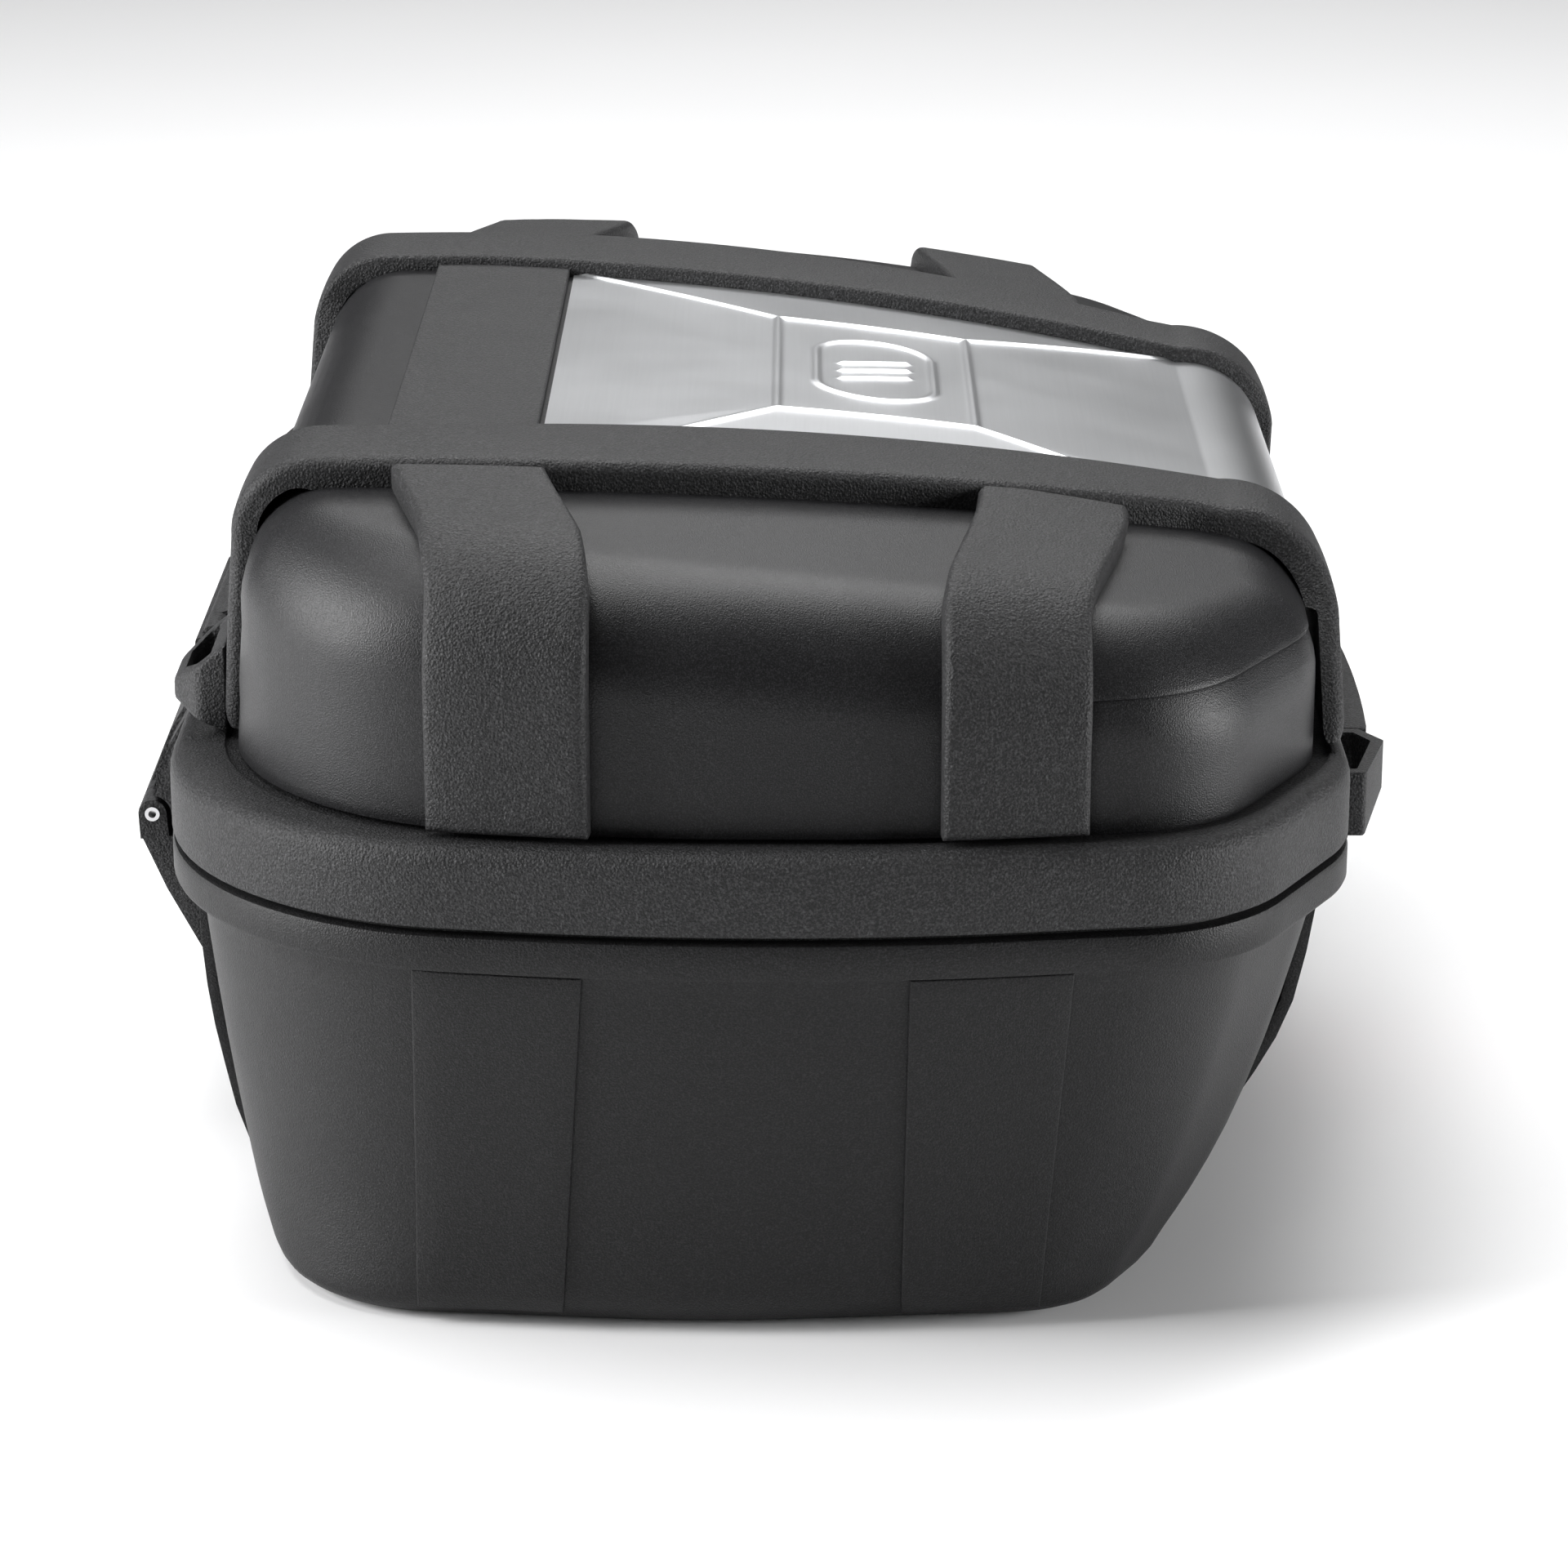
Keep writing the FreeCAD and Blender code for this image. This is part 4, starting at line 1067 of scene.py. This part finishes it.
class CASE_OT_top_band(bpy.types.Operator):
    """Grained band between the smooth lid and the plate."""
    bl_idname = "case.top_band"
    bl_label = "Top Band"

    def execute(self, context):
        surface, total = top_surface(LID_DROP, BAND_X[0], (BAND_X[1], None))
        band = raised_panel("top_band_strip", surface, 238.0, total, 0.8, 2.8, 0.6, 6.0, 4.0)
        place(band, "flap", "grained_black", ["top_band"])
        return {"FINISHED"}


# ---- small mouldings and hardware ----

class CASE_OT_strap_loops(bpy.types.Operator):
    """Loops for luggage straps on the flap and beside the carry handle."""
    bl_idname = "case.strap_loops"
    bl_label = "Strap Loops"

    def execute(self, context):
        width = context.scene.case_sizes.edge_rounding / MM
        for node in ("handle_loop_near", "handle_loop_far"):
            place(softened(node, node + "_moulding", width), "base", "grained_black", [node], 40.0)
        outer = ((-169.0, 103.0, 1), (-169.0, 149.5, 1), (-178.5, 149.5, 5), (-187.3, 137.0, 6),
            (-187.3, 115.0, 6), (-178.5, 103.0, 5))
        inner = ((-174.4, 110.0, 1), (-174.4, 143.5, 1), (-178.4, 143.5, 2), (-183.4, 134.0, 3),
            (-183.4, 117.5, 3), (-178.4, 110.0, 2))
        for side, end in ENDS:
            rings = []
            for outline, grow, share, lift in (
                    (outer, -0.9, 0, 0.0), (outer, -0.2, 0, 0.5), (outer, 0.0, 0, 1.4),
                    (outer, 0.0, 1, -1.5), (outer, -0.4, 1, -0.5), (outer, -1.4, 1, 0.0),
                    (inner, 0.9, 1, 0.0), (inner, 0.2, 1, -0.3), (inner, 0.0, 1, -1.2),
                    (inner, 0.0, 0, 1.2), (inner, 0.6, 0, 0.2)):
                ring = round_outline(outline, grow)
                top = 182.4 + (ring[:, 0] + 187.3) * 0.8
                bottom = 175.5 - (ring[:, 0] + 187.3) * 0.42
                z = bottom + (top - bottom) * share + lift
                rings.append(np.column_stack([ring[:, 0], side * ring[:, 1], z]))
            loop = loft_piece("strap_loop_%s_moulding" % end, rings, closed=True)
            place(loop, "flap", "grained_black", ["strap_loop_" + end], 40.0)
        return {"FINISHED"}


class CASE_OT_hinges(bpy.types.Operator):
    """Leaves of the main hinge and of the flap's own hinge."""
    bl_idname = "case.hinges"
    bl_label = "Hinges"

    def execute(self, context):
        for node, body, width in (
                ("hinge_lower_leaf", "base", 0.8), ("hinge_upper_leaf", "lid", 0.6),
                ("flap_hinge_base", "lid", 0.4), ("flap_hinge_leaf", "flap", 0.4)):
            place(softened(node, node + "_moulding", width), body, "grained_black", [node], 40.0)
        return {"FINISHED"}


class CASE_OT_lock_side(bpy.types.Operator):
    """Lock block, lever, carry handle, buttons and latch."""
    bl_idname = "case.lock_side"
    bl_label = "Lock Side"

    def execute(self, context):
        width = context.scene.case_sizes.edge_rounding / MM
        for node, body, slot_name, edge in (
                ("lock_housing", "base", "grained_black", width),
                ("lock_lever", "lever", "grained_black", 0.6),
                ("lever_keeper", "lid", "grained_black", 0.3),
                ("carry_handle", "handle", "grained_black", 1.0),
                ("rack_release_button", "rack_button", "button_red", 0.8),
                ("flap_latch_button", "flap_latch", "grained_black", 0.8),
                ("flap_latch_hook", "flap_latch", "satin_black", 0.4),
                ("flap_keeper", "flap", "satin_black", 0.4)):
            place(softened(node, node + "_moulding", edge), body, slot_name, [node], 40.0)
        return {"FINISHED"}


class CASE_OT_hardware(bpy.types.Operator):
    """Finishes for the pins, screws, springs and rack parts that keep their own shape."""
    bl_idname = "case.hardware"
    bl_label = "Hardware"

    def execute(self, context):
        kept = {
            "screw_steel": ("rack_plate", "rack_plate_screws", "rack_catch", "lock_cam"),
            "pin_steel": ("catch_spring", "hinge_pin", "lever_pin", "flap_hinge_pin",
                          "handle_pins"),
            "shell_black": ("catch_housing", "catch_end_plates"),
            "lock_chrome": ("lock_cylinder",),
        }
        for slot_name, nodes in kept.items():
            for node in nodes:
                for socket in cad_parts[node].material_slots:
                    socket.material = finish_for(slot_name)
        return {"FINISHED"}


# ---- studio ----

class CASE_OT_studio(bpy.types.Operator):
    """Pale floor, soft lights and the camera."""
    bl_idname = "case.studio"
    bl_label = "Studio"

    def execute(self, context):
        colour = tuple(context.scene.case_colours.floor)
        made, tree, shader, where = start_finish("finish_floor", colour, 0.6)
        blotch = ramp(tree, noise(tree, where, 1.2, 3.0), 0.3, 0.7, 0.55, 0.65)
        tree.links.new(blotch, shader.inputs["Roughness"])
        shader.inputs["Specular IOR Level"].default_value = 0.2
        angles = np.linspace(0, 2 * math.pi, 96, endpoint=False)
        rings = [np.column_stack([r * np.cos(angles), r * np.sin(angles), np.full(96, -0.05)])
            for r in (60000.0, 9000.0, 4000.0, 1500.0, 500.0, 50.0)]
        floor = loft_piece("studio_floor", rings, caps=(-1,))
        for face in floor.data.polygons:
            if face.normal.z < 0:
                floor.data.flip_normals()
                break
        floor.data.materials.append(made)

        target = Vector((0.0, 0.0, 0.13))
        for name, spot, size, power in (("overhead", (-0.25, 0.3, 2.1), (2.4, 0.9), 52.0),
                ("left_soft", (-2.0, -0.5, 0.85), (0.6, 1.5), 80.0),
                ("right_soft", (1.9, -0.5, 0.4), (0.8, 0.6), 36.0),
                ("back_soft", (0.3, 2.3, 2.2), (2.6, 1.2), 34.0)):
            light = bpy.data.lights.new(name, "AREA")
            light.shape = "RECTANGLE"
            light.size, light.size_y = size
            light.energy = power
            holder = bpy.data.objects.new(name, light)
            holder.location = spot
            holder.rotation_euler = (target - Vector(spot)).to_track_quat("-Z", "Y").to_euler()
            context.scene.collection.objects.link(holder)
        world = bpy.data.worlds.new("studio_world")
        world.use_nodes = True
        tree = world.node_tree
        where = tree.nodes.new("ShaderNodeTexCoord")
        slope = tree.nodes.new("ShaderNodeVectorMath")
        slope.operation = "DOT_PRODUCT"
        slope.inputs[1].default_value = (0.0, 0.25, 1.0)
        tree.links.new(where.outputs["Generated"], slope.inputs[0])
        sky = tree.nodes["Background"]
        brightness = ramp(tree, slope.outputs["Value"], 0.0, 1.0, 0.45, 2.0)
        tree.links.new(brightness, sky.inputs["Strength"])
        context.scene.world = world
        context.scene.view_settings.view_transform = "Standard"

        lens = bpy.data.cameras.new("studio_camera")
        lens.lens = 112.5
        lens.sensor_width = 36.0
        camera = bpy.data.objects.new("studio_camera", lens)
        camera.location = (0.0145, -1.6358, 0.6563)
        camera.rotation_euler = (math.radians(71.22), 0.0, math.radians(0.226))
        context.scene.collection.objects.link(camera)
        context.scene.camera = camera
        return {"FINISHED"}


OPERATORS = (
    CASE_OT_lower_shell, CASE_OT_shell_bands, CASE_OT_side_panels, CASE_OT_rim_seal,
    CASE_OT_lid_belt, CASE_OT_flap_shell, CASE_OT_chin, CASE_OT_bars, CASE_OT_bump_pads,
    CASE_OT_top_plate,
    CASE_OT_top_band, CASE_OT_strap_loops, CASE_OT_hinges, CASE_OT_lock_side, CASE_OT_hardware,
    CASE_OT_studio,
)


class CASE_PT_sidebar(bpy.types.Panel):
    """Lists the steps that build the case."""
    bl_idname = "CASE_PT_sidebar"
    bl_label = "Side Case"
    bl_space_type = "VIEW_3D"
    bl_region_type = "UI"
    bl_category = "Side Case"

    def draw(self, context):
        for operator in OPERATORS:
            self.layout.operator(operator.bl_idname)
        for group in (context.scene.case_sizes, context.scene.case_colours):
            column = self.layout.column()
            for name in group.__annotations__:
                column.prop(group, name)


def register():
    for kind in (CaseSizes, CaseColours, *OPERATORS, CASE_PT_sidebar):
        bpy.utils.register_class(kind)
    bpy.types.Scene.case_sizes = PointerProperty(type=CaseSizes)
    bpy.types.Scene.case_colours = PointerProperty(type=CaseColours)


def unregister():
    del bpy.types.Scene.case_colours
    del bpy.types.Scene.case_sizes
    for kind in reversed((CaseSizes, CaseColours, *OPERATORS, CASE_PT_sidebar)):
        bpy.utils.unregister_class(kind)


def main():
    register()
    for operator in OPERATORS:
        group, name = operator.bl_idname.split(".")
        getattr(getattr(bpy.ops, group), name)()


if __name__ == "__main__":
    main()
